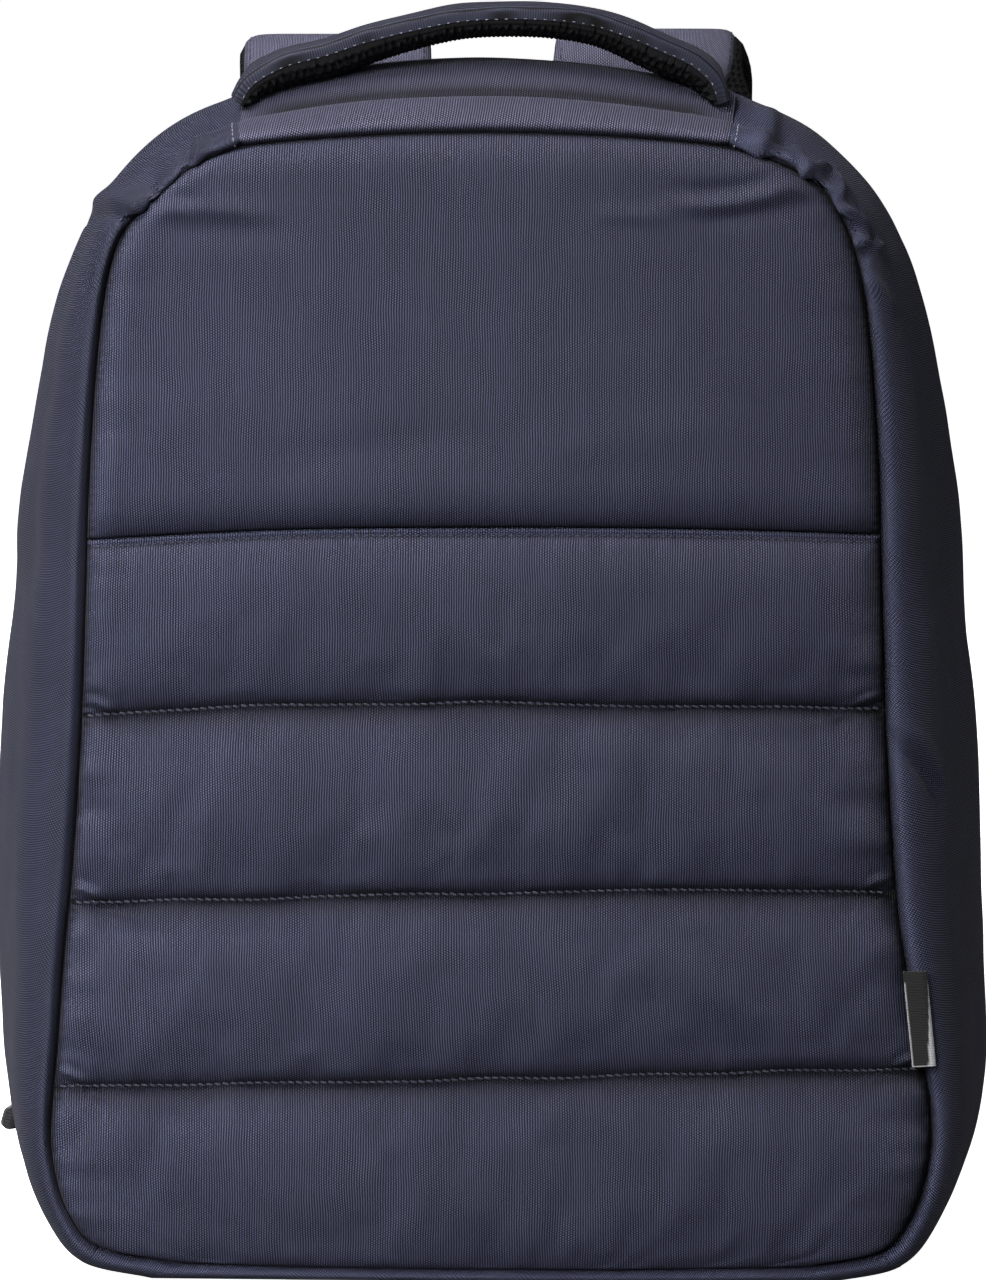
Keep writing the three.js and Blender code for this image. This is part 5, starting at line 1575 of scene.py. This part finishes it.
strapUpRows = [
    {"share": 0.03, "out": 0, "back": 0},
    {"share": 0.46, "out": 0, "back": 0},
    {"share": 0.82, "out": 0, "back": 0.06},
    {"share": 0.96, "out": 0.01, "back": 0.21},
    {"share": 1, "out": 0.02, "back": 0.44},
]
strapDownRows = [
    {"share": 0.03, "out": 0.03, "back": 0.7},
    {"share": 0.11, "out": 0.06, "back": 0.86},
    {"share": 0.26, "out": 0.16, "back": 0.94},
    {"share": 0.44, "out": 0.34, "back": 0.99},
    {"share": 0.61, "out": 0.54, "back": 1},
    {"share": 0.81, "out": 0.76, "back": 0.93},
    {"share": 1, "out": 1, "back": 0.8},
]
sideNames = {-1: "left", 1: "right"}


def strapFrames(side, count=None):
    outside = yBack + bag["gap"] + backLook["backing"] + backLook["yokePuff"] + bag["gap"]
    seamPlace = outside + strap["thickness"] * strap["rootShare"] / 2
    crest = backTop + strap["rise"] - (strap["leftDrop"] if side < 0 else 0)

    def guide(row, low, high):
        x = strap["shift"] + side * (strap["offset"] + row["out"] * strap["splay"])
        y = mix(seamPlace, yBack + strap["standOff"], row["back"])
        return (x, y, mix(low, high, row["share"])), (1, 0, 0)

    guides = [guide(row, yokeSeam, crest) for row in strapUpRows]
    guides += [guide(row, crest, strap["endHeight"]) for row in strapDownRows]
    return framesAlong(guides, count or strap["steps"])


def shoulderStrap(side):
    frames = strapFrames(side)
    t = frames["t"][:, None]
    thick = strap["thickness"] / 2 * mix(strap["rootShare"], 1, smooth(t, strap["fillStart"], strap["fillEnd"]))
    thick = thick * mix(1, strap["tipShare"], smooth(t, strap["tipStart"], 1))
    width = mix(strap["topWidth"], strap["endWidth"], smooth(t, strap["taperStart"], 1))
    width = mix(width, strap["tipWidth"], smooth(t, strap["tipStart"], 1))
    a = np.sin(np.linspace(-1, 1, 57) * math.pi / 2)[None]
    reach = a * width / 2
    run = np.cumsum(np.linalg.norm(np.diff(frames["p"], axis=0, prepend=frames["p"][:1]), axis=1))[:, None]
    top = thick * paddedEdge(a, strap["topEdge"])
    top = top + strap["dimple"] * softNoise(run, reach, strap["dimpleSize"], 95 + side)
    top = top - strap["edgeDip"] * bell(1 - np.abs(a), strap["edgeDipReach"])
    # the third value is painted shade along both edges of the cover
    place = placeOf(reach + 0 * run, run + 0 * a, bell(1 - np.abs(a), 0.05) + 0 * run)
    name = sideNames[side]
    below = smooth(frames["p"][:, 2:].max() - frames["p"][:, 2:], *strap["belowDrop"])
    below = below * (1 - smooth(t, *strap["belowEnd"]))
    outer = np.clip(a * side, 0, 1) ** 2 * side
    inFront = 1 - smooth(t, *strap["frontEnd"])
    inner = np.clip(-a * side, 0, 1) ** 2 * side * mix(*strap["innerReach"][side], below) * inFront
    coverReach = reach - outer * mix(*strap["coverTrim"][side], below) * inFront - inner
    padReach = reach + outer * mix(*strap["padReach"][side], below) * inFront - inner
    cover = stripGrid(frames, coverReach, top)
    inside = stripGrid(frames, coverReach, top - strap["skin"])
    piece = gridPiece(f"{name}StrapCover", cover, inside, place, strapCloth, skip=(6, 6))
    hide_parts(f"{name}_strap_cover")
    padTop = top - strap["skin"] - bag["gap"]
    bottom = np.minimum(-thick * paddedEdge(a, strap["padEdge"]), padTop - strap["skin"])
    pad = stripGrid(frames, padReach, bottom)
    padInside = stripGrid(frames, padReach, padTop)
    padPiece = gridPiece(f"{name}StrapPad", pad, padInside, place, spacerMesh, skip=(6, 6))
    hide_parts(f"{name}_strap_pad")
    normals = gridNormals(cover, towards=frames["out"][len(run) // 2])
    lines = [(cover[8:-8, edge], normals[8:-8, edge]) for edge in (strap["stitchColumn"], -strap["stitchColumn"] - 1)]
    thread = {"pitch": strap["stitchPitch"], "length": strap["stitchLength"], "radius": strap["stitchRadius"]}
    stitchMesh(f"{name}StrapStitches", lines, navyThread, "navy_cloth", **thread)


for side in (-1, 1):
    shoulderStrap(side)
print("handle and straps made")

webLook = {
    "width": 25,
    "thickness": 1.5,
    "bar": 3.2,
    "slot": 5.6,
    "side": 4,
    "play": 1,
    "lockThickness": 3,
    "drop": 17,
    "straightRun": 8,
    "hemThickness": 6,
    "hemLength": 7.4,
}
anchor = {
    "baseWidth": 42,
    "tipWidth": 29,
    "height": 24,
    "inset": 22,
    "length": 34,
    "turn": 27,
    "lift": 23.5,
    "thickness": 2.6,
    "lap": 15,
    "gap": 0.45,
}
tailRows = {
    -1: [
        {"out": 0.64, "back": 0.66, "up": 0.71, "turn": 27},
        {"out": 0.85, "back": 0.42, "up": 0.47, "turn": 56},
        {"out": 0.99, "back": 0.2, "up": 0.3, "turn": 83},
        {"out": 1.02, "back": 0.14, "up": 0.18, "turn": 88},
    ],
    1: [
        {"out": 0.66, "back": 0.8, "up": 0.71, "turn": 11},
        {"out": 0.72, "back": 0.74, "up": 0.49, "turn": 17},
        {"out": 0.78, "back": 0.62, "up": 0.3, "turn": 25},
        {"out": 0.8, "back": 0.58, "up": 0.24, "turn": 25},
    ],
}


def lockFrame(side):
    frames = strapFrames(side)
    end = {key: frames[key][-1] for key in ("p", "across", "along", "out")}
    return {**end, "p": end["p"] + end["along"] * webLook["drop"]}


def inLock(lock, down, out):
    return lock["p"] + lock["along"] * down + lock["out"] * out


def turnRadius():
    return math.hypot(webLook["lockThickness"], webLook["bar"]) / 2 + bag["gap"] + webLook["thickness"] / 2


# Points half round a bar of the lock, from its inner side to its outer side.
def turnRound(lock, barDown, turn, steps=14):
    angles = np.linspace(0, math.pi, steps)
    radius = turnRadius()
    return [inLock(lock, barDown + turn * radius * math.sin(a), -radius * math.cos(a)) for a in angles]


# A flat strip of webbing along points, with its width direction at each.
def webbingStrip(name, points, across, width=None, thickness=None, material=None):
    points, across = np.array(points), np.array(across)
    along = unit(np.gradient(points, axis=0))
    across = unit(across - along * (across * along).sum(1, keepdims=True))
    frames = {"p": points, "across": across, "along": along, "out": np.cross(across, along)}
    count = len(points)
    half = (np.full(count, webLook["width"]) if width is None else np.asarray(width))[:, None] / 2
    thick = (np.full(count, webLook["thickness"]) if thickness is None else np.asarray(thickness))[:, None] / 2
    a = np.linspace(-1, 1, 15)[None]
    edge = 1 - 0.45 * np.abs(a) ** 12
    run = np.cumsum(np.linalg.norm(np.diff(points, axis=0, prepend=points[:1]), axis=1))[:, None]
    place = placeOf(a * half + 0 * run, run + 0 * a, 0)
    seen, hidden = stripGrid(frames, a * half, thick * edge), stripGrid(frames, a * half, -thick * edge)
    return gridPiece(name, seen, hidden, place, material or webbing, skip=(1, 1))


def anchorLine(side):
    turn, lift = math.radians(anchor["turn"]), math.radians(anchor["lift"])
    foot = np.array(
        [
            side * (backHalf - anchor["inset"]),
            yBack + bag["gap"] + backLook["backing"] + anchor["thickness"],
            anchor["height"],
        ]
    )
    away = np.array([-side * math.sin(turn) * math.cos(lift), math.sin(lift), math.cos(turn) * math.cos(lift)])
    across = np.array([math.cos(turn), 0, side * math.sin(turn)])
    across = across - away * (across @ away)
    across = across / np.linalg.norm(across)
    return foot, away, across, np.cross(across, away)


def smoothLine(points, across, count):
    frames = framesAlong(list(zip(points, across)), count)
    return frames["p"], frames["across"]


def lowerWebbing(side):
    lock = lockFrame(side)
    foot, away, across, out = anchorLine(side)
    onTip = foot + away * anchor["length"] + out * (anchor["thickness"] / 2 + anchor["gap"] + webLook["thickness"] / 2)
    turn = turnRound(lock, 0, -1)
    clear = webLook["bar"] + webLook["slot"] + webLook["straightRun"]
    radius = turnRadius()
    rising = [onTip - away * anchor["lap"], onTip, mix(onTip, inLock(lock, clear, -radius), 0.5)]
    rising += [inLock(lock, clear, -radius), turn[0]]
    risingAcross = [across, across, np.array([1.0, 0, 0]), lock["across"], lock["across"]]
    falling, fallingAcross = [turn[-1], inLock(lock, clear, radius)], [lock["across"]] * 2
    for row in tailRows[side]:
        angle = math.radians(row["turn"])
        x, y = side * row["out"] * bag["halfWidth"], yBack + row["back"] * strap["standOff"]
        falling.append(np.array([x, y, row["up"] * lock["p"][2]]))
        fallingAcross.append(np.array([math.cos(angle), -side * math.sin(angle), 0]))
    upPoints, upAcross = smoothLine(rising, risingAcross, 50)
    downPoints, downAcross = smoothLine(falling, fallingAcross, 80)
    end = unit(downPoints[-1] - downPoints[-2])
    hem = [downPoints[-1] + end * share * webLook["hemLength"] for share in np.linspace(0.02, 1, 12)]
    points = np.vstack([upPoints[:-1], turn[:-1], downPoints, hem])
    directions = np.vstack([upAcross[:-1], [lock["across"]] * (len(turn) - 1), downAcross, [downAcross[-1]] * len(hem)])
    thickness = np.full(len(points), float(webLook["thickness"]))
    share = np.linspace(0, 1, len(hem))
    thickness[-len(hem) :] = webLook["hemThickness"] * np.sqrt(np.clip(1 - (2 * share - 1) ** 6, 0.12, 1))
    name = sideNames[side]
    piece = webbingStrip(f"{name}LowerWebbing", points, directions, thickness=thickness)
    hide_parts(f"{name}_lower_webbing")
    loop = turnRound(lock, -webLook["bar"] - webLook["slot"], 1)
    sewn = bag["gap"] - webLook["drop"]
    legs = [inLock(lock, down, -radius) for down in np.linspace(sewn, -webLook["bar"] - webLook["slot"] - 0.6, 5)]
    backLegs = [inLock(lock, down, radius) for down in np.linspace(-webLook["bar"] - webLook["slot"] - 0.6, sewn, 5)]
    loopPoints = [*legs, *loop, *backLegs]
    loopPiece = webbingStrip(f"{name}LockLoop", loopPoints, [lock["across"]] * len(loopPoints))
    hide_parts(f"{name}_lock_loop")


def anchorTab(side):
    foot, away, across, out = anchorLine(side)
    shares = np.linspace(0, 1, 24)
    points = foot + away[None] * (shares * anchor["length"])[:, None]
    width = mix(anchor["baseWidth"], anchor["tipWidth"], shares)
    thickness = np.full(len(shares), float(anchor["thickness"]))
    name = sideNames[side]
    piece = webbingStrip(
        f"{name}StrapAnchor", points, [across] * len(shares), width, thickness, navyCloth
    )
    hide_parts(f"{name}_strap_anchor")
    lines = []
    for edge in (-1, 1):
        line = points + across[None] * (edge * (width / 2 - 2.2))[:, None] + out * (anchor["thickness"] / 2)
        lines.append((line, np.repeat(out[None], len(line), 0)))
    stitchMesh(f"{name}AnchorStitches", lines, navyThread, "navy_cloth", pitch=3, length=2.2, radius=0.22)


# A flat moulded piece with rounded edges, from an outline and holes in its own plane.
def mouldedPiece(name, outline, holes, thickness, frameAxes, origin, bevel=0.45):
    curve = bpy.data.curves.new(name, "CURVE")
    curve.dimensions = "2D"
    curve.fill_mode = "BOTH"
    curve.extrude = (thickness / 2 - bevel) * metresPerMm
    curve.bevel_depth = bevel * metresPerMm
    curve.bevel_resolution = 2
    curve.offset = -bevel * metresPerMm
    for loop in [outline, *holes]:
        spline = curve.splines.new("POLY")
        spline.points.add(len(loop) - 1)
        for point, (x, y) in zip(spline.points, loop):
            point.co = (x * metresPerMm, y * metresPerMm, 0, 1)
        spline.use_cyclic_u = True
    maker = bpy.data.objects.new(name + "Maker", curve)
    bpy.context.scene.collection.objects.link(maker)
    depsgraph = bpy.context.evaluated_depsgraph_get()
    mesh = bpy.data.meshes.new_from_object(maker.evaluated_get(depsgraph))
    bpy.data.objects.remove(maker)
    shape = bmesh.new()
    shape.from_mesh(mesh)
    bmesh.ops.remove_doubles(shape, verts=shape.verts, dist=2e-6)
    bmesh.ops.recalc_face_normals(shape, faces=shape.faces)
    shape.to_mesh(mesh)
    shape.free()
    co = np.zeros(len(mesh.vertices) * 3)
    mesh.vertices.foreach_get("co", co)
    co = co.reshape(-1, 3) / metresPerMm
    world = origin + co @ np.array(frameAxes)
    world[:, 0] += swayAt(world[:, 2])
    mesh.vertices.foreach_set("co", (world * metresPerMm).ravel())
    turnOutwards(mesh)
    mesh.materials.clear()
    mesh.name = name
    return newObject(name, mesh, blackPlastic)


def roundedLoop(corners, radius, steps=5):
    loop = []
    for n, corner in enumerate(corners):
        corner = np.array(corner, float)
        before, after = np.array(corners[n - 1], float), np.array(corners[(n + 1) % len(corners)], float)
        towards, onwards = before - corner, after - corner
        reach = min(radius, np.linalg.norm(towards) / 2, np.linalg.norm(onwards) / 2)
        start = corner + towards / np.linalg.norm(towards) * reach
        end = corner + onwards / np.linalg.norm(onwards) * reach
        for share in np.linspace(0, 1, steps):
            loop.append(mix(mix(start, corner, share), mix(corner, end, share), share))
    return loop


def ladderLock(side):
    lock = lockFrame(side)
    half = webLook["width"] / 2 + webLook["play"] + webLook["side"]
    halfBar = webLook["bar"] / 2
    top = -halfBar - webLook["slot"] - webLook["bar"]
    bottom = -top
    corners = [(-half, top), (half, top), (half, bottom - webLook["bar"]), (half - webLook["side"] / 2, bottom)]
    corners += [(webLook["side"] / 2 - half, bottom), (-half, bottom - webLook["bar"])]
    inner = webLook["width"] / 2 + webLook["play"]
    slots = [
        [(-inner, low), (-inner, high), (inner, high), (inner, low)]
        for low, high in ((-halfBar - webLook["slot"], -halfBar), (halfBar, halfBar + webLook["slot"]))
    ]
    name = sideNames[side]
    axes = [lock["across"], lock["along"], lock["out"]]
    holes = [roundedLoop(slot, 0.8) for slot in slots]
    piece = mouldedPiece(
        f"{name}LadderLock", roundedLoop(corners, 1.6), holes, webLook["lockThickness"], axes, lock["p"]
    )
    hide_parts(f"{name}_ladder_lock")


for side in (-1, 1):
    lowerWebbing(side)
    anchorTab(side)
    ladderLock(side)
print("webbing made")

slider = {
    "place": 0.5,  # share of the way round the left side, from the base
    "length": 13,
    "width": 8,
    "thickness": 3,
    "pullLength": 24,
    "pullWidth": 5,
    "bead": 0.9,
    "step": 0.004,  # share of the zip over which its direction is taken
    "holeFrom": 7,  # ends of the pull's hole, back from its tip
    "holeTo": 2,
    "holeRim": 1.5,
    "bodyRound": 1.8,
    "holeRound": 0.9,
    "bevel": 0.6,
}


def zipSlider(sign):
    near = evenShares(1.0)
    at = near[int(len(near) * slider["place"])]
    grid = gussetGrid("left", [at - slider["step"], at, at + slider["step"]], [zipFront, zipRear])
    middle = grid[:, 1].mean(0)
    upwards = unit(grid[:, 2].mean(0) - grid[:, 0].mean(0))
    backwards = unit(grid[1, 1] - grid[0, 1])
    normal = unit(np.cross(upwards, backwards))
    if normal[0] > 0:
        normal = -normal
    along = upwards * sign
    sideways = unit(np.cross(normal, along))
    body, pull = slider["width"] / 2, slider["pullWidth"] / 2
    long, end = slider["length"], slider["length"] + slider["pullLength"]
    lowHalf = [(0, -body), (long, -body), (long, -pull), (end, -pull)]
    corners = lowHalf + [(x, -y) for x, y in lowHalf[::-1]]
    holeFrom, holeTo, holeHalf = end - slider["holeFrom"], end - slider["holeTo"], pull - slider["holeRim"]
    hole = [(holeFrom, -holeHalf), (holeFrom, holeHalf), (holeTo, holeHalf), (holeTo, -holeHalf)]
    origin = middle + normal * (slider["bead"] + bag["gap"] + slider["thickness"] / 2) + along * bag["gap"]
    name = "upper" if sign > 0 else "lower"
    piece = mouldedPiece(
        f"{name}ZipSlider",
        roundedLoop(corners, slider["bodyRound"]),
        [roundedLoop(hole, slider["holeRound"])],
        slider["thickness"],
        [along, sideways, np.cross(along, sideways)],
        origin,
        bevel=slider["bevel"],
    )
    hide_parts(f"zip_slider_{name}")


zipSlider(1)
zipSlider(-1)

tag = {
    "height": 30,
    "reach": 7.6,
    "cloth": 1,
    "spread": 3.4,
    "middle": 85.5,
    "inset": 2.6,
    "slant": 0.045,
    "liningShows": (3.4, 0.3),  # width of pale lining seen at the fold, at the lower end and near the upper end
}


def seamTag():
    fold = tag["reach"] - tag["spread"] / 2
    radius = tag["spread"] / 2
    straight = np.linspace(0, fold, 10)
    arc = np.linspace(-math.pi / 2, math.pi / 2, 15)[1:-1]
    outerX = [*straight, *(fold + radius * np.cos(arc)), *straight[::-1]]
    outerY = [*(0 * straight), *(radius + radius * np.sin(arc)), *(0 * straight + tag["spread"])]
    thin = radius - tag["cloth"]
    innerX = [*straight, *(fold + thin * np.cos(arc)), *straight[::-1]]
    low, high = tag["cloth"], tag["spread"] - tag["cloth"]
    innerY = [*(0 * straight + low), *(radius + thin * np.sin(arc)), *(0 * straight + high)]
    edge = np.linspace(-tag["height"] / 2, tag["height"] / 2, 61)
    seenFlat = np.stack([np.array(outerX), np.array(outerY) - bag["gap"] - tag["spread"]], 1)
    hiddenFlat = np.stack([np.array(innerX), np.array(innerY) - bag["gap"] - tag["spread"]], 1)
    lean = -math.atan(frontLean)
    z0 = tag["middle"]
    sections = columnsOf(sectionRows, "depth")
    origin = np.array([frontHalfAt(z0) - tag["inset"], frontPlane(z0) + sections.min() * bag["baseDepth"], z0])

    def setIn(flat):
        x, y = flat[:, None, 0] + 0 * edge, flat[:, None, 1] + 0 * edge
        z = edge[None] + 0 * x
        y, z = y * math.cos(lean) - z * math.sin(lean), y * math.sin(lean) + z * math.cos(lean)
        slant = -tag["slant"]
        x, z = x * math.cos(slant) + z * math.sin(slant), -x * math.sin(slant) + z * math.cos(slant)
        return origin + np.stack([x, y, z], -1)

    seen, hidden = setIn(seenFlat), setIn(hiddenFlat)
    run = runLength(seen, 0)
    upTag = (edge[None] / tag["height"] + 0.5) + 0 * run
    foldRun = fold + radius * math.pi / 2
    fromFold = np.abs(run - foldRun + mix(*tag["liningShows"], upTag) / 2) - mix(*tag["liningShows"], upTag) / 2
    light = np.maximum(1 - smooth(fromFold, -0.15, 0.15), 1 - smooth(run, 0.3, 0.5))
    light = np.maximum(light * (1 - smooth(upTag, 0.86, 0.9)), 1 - smooth(upTag, 0.008, 0.016))
    place = placeOf(edge[None] + 0 * run, run, light)
    piece = gridPiece("seamTag", seen, hidden, place, tagRibbon, skip=(1, 4))
    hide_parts("seam_tag")


seamTag()
print("small parts made")

floorLook = {"glow": 0.98, "bounce": 0.16}  # light of its own towards the camera, and its share of bounced light


def makeFloor():
    material, tree, shader = newMaterial("paleFloor", **{"Roughness": 0.9, "Specular IOR Level": 0.1})
    place = addNode(tree, "ShaderNodeTexCoord").outputs["Object"]
    grain = addNode(tree, "ShaderNodeTexNoise", {"Vector": place, "Scale": 3.0, "Detail": 3}).outputs[0]
    factor = calculate(tree, "MULTIPLY_ADD", grain, 0.02, 0.86)
    tree.links.new(scaledColour(tree, (1.0, 1.0, 1.0), factor), shader.inputs["Base Color"])
    glow = addNode(tree, "ShaderNodeEmission", {"Color": (1, 1, 1, 1), "Strength": floorLook["glow"]})
    total = addNode(tree, "ShaderNodeAddShader", {0: shader.outputs[0], 1: glow.outputs[0]})
    seen = addNode(tree, "ShaderNodeLightPath").outputs["Is Camera Ray"]
    dim = addNode(tree, "ShaderNodeBsdfDiffuse", {"Color": (*[floorLook["bounce"]] * 3, 1)})
    blend = addNode(tree, "ShaderNodeMixShader", {0: seen, 1: dim.outputs[0], 2: total.outputs[0]})
    output = tree.nodes["Material Output"]
    tree.links.new(blend.outputs[0], output.inputs["Surface"])
    mesh = bpy.data.meshes.new("floor")
    size, segments = 60.0, 48
    turns = [n * 2 * math.pi / segments for n in range(segments)]
    ring = [(size * math.cos(turn), size * math.sin(turn), 0) for turn in turns]
    mesh.from_pydata(ring, [], [list(range(segments))])
    floor = bpy.data.objects.new("floor", mesh)
    bpy.context.scene.collection.objects.link(floor)
    mesh.materials.append(material)


def addLight(name, place, target, size, power, colour, spread=180):
    light = bpy.data.lights.new(name, "AREA")
    light.shape = "RECTANGLE"
    light.size, light.size_y = size
    light.energy = power
    light.spread = math.radians(spread)
    light.color = colour
    lamp = bpy.data.objects.new(name, light)
    lamp.location = place
    lamp.rotation_euler = (Vector(target) - Vector(place)).to_track_quat("-Z", "Y").to_euler()
    bpy.context.scene.collection.objects.link(lamp)


lights = [
    {
        "name": "key",
        "place": (-0.85, -1.5, 1.0),
        "target": (-0.42, 0, 0.07),
        "size": (0.9, 1.0),
        "power": 4.8,
        "spread": 44,
        "colour": (0.98, 0.99, 1.0),
    },
    {
        "name": "sky",
        "place": (-0.6, -0.35, 1.6),
        "target": (0, 0, 0.3),
        "size": (1.1, 0.8),
        "power": 27,
        "colour": (1.0, 0.95, 0.96),
    },
    {
        "name": "back",
        "place": (-0.1, 2.0, 0.2),
        "target": (0, 0.1, 0.2),
        "size": (0.3, 0.3),
        "power": 4.5,
        "spread": 70,
        "colour": (1.0, 0.99, 0.98),
    },
    {
        "name": "rim",
        "place": (1.6, 0.1, 0.5),
        "target": (0.1, 0, 0.2),
        "size": (0.6, 0.6),
        "power": 3.2,
        "colour": (1.0, 0.97, 0.98),
    },
    {
        "name": "fill",
        "place": (-0.1, -2.2, 0.4),
        "target": (0, 0, 0.2),
        "size": (1.2, 1.2),
        "power": 3.0,
        "colour": (0.98, 0.99, 1.0),
    },
]
for entry in lights:
    addLight(**entry)

world = bpy.data.worlds.new("studio")
bpy.context.scene.world = world
world.use_nodes = True
worldTree = world.node_tree
background = worldTree.nodes["Background"]
background.inputs["Color"].default_value = (1, 1, 1, 1)
cameraRay = addNode(worldTree, "ShaderNodeLightPath").outputs["Is Camera Ray"]
worldTree.links.new(calculate(worldTree, "MULTIPLY_ADD", cameraRay, 0.97, 0.03), background.inputs["Strength"])
makeFloor()

cameraLook = {
    "distance": 1.9,
    "azimuth": 1.5,
    "elevation": 8.0,
    "lens": 109.6,
    "sensor": 24.0,
    "target": (0.001, 0, 0.197),
}
azimuth, elevation = math.radians(cameraLook["azimuth"]), math.radians(cameraLook["elevation"])
away = Vector(
    (math.sin(azimuth) * math.cos(elevation), -math.cos(azimuth) * math.cos(elevation), math.sin(elevation))
)
cameraData = bpy.data.cameras.new("camera")
cameraData.lens, cameraData.sensor_width = cameraLook["lens"], cameraLook["sensor"]
cameraData.sensor_fit = "AUTO"
camera = bpy.data.objects.new("camera", cameraData)
bpy.context.scene.collection.objects.link(camera)
camera.location = Vector(cameraLook["target"]) + away * cameraLook["distance"]
camera.rotation_euler = (-away).to_track_quat("-Z", "Y").to_euler()
bpy.context.scene.camera = camera
bpy.context.scene.view_settings.view_transform = "Standard"

print("scene ready")
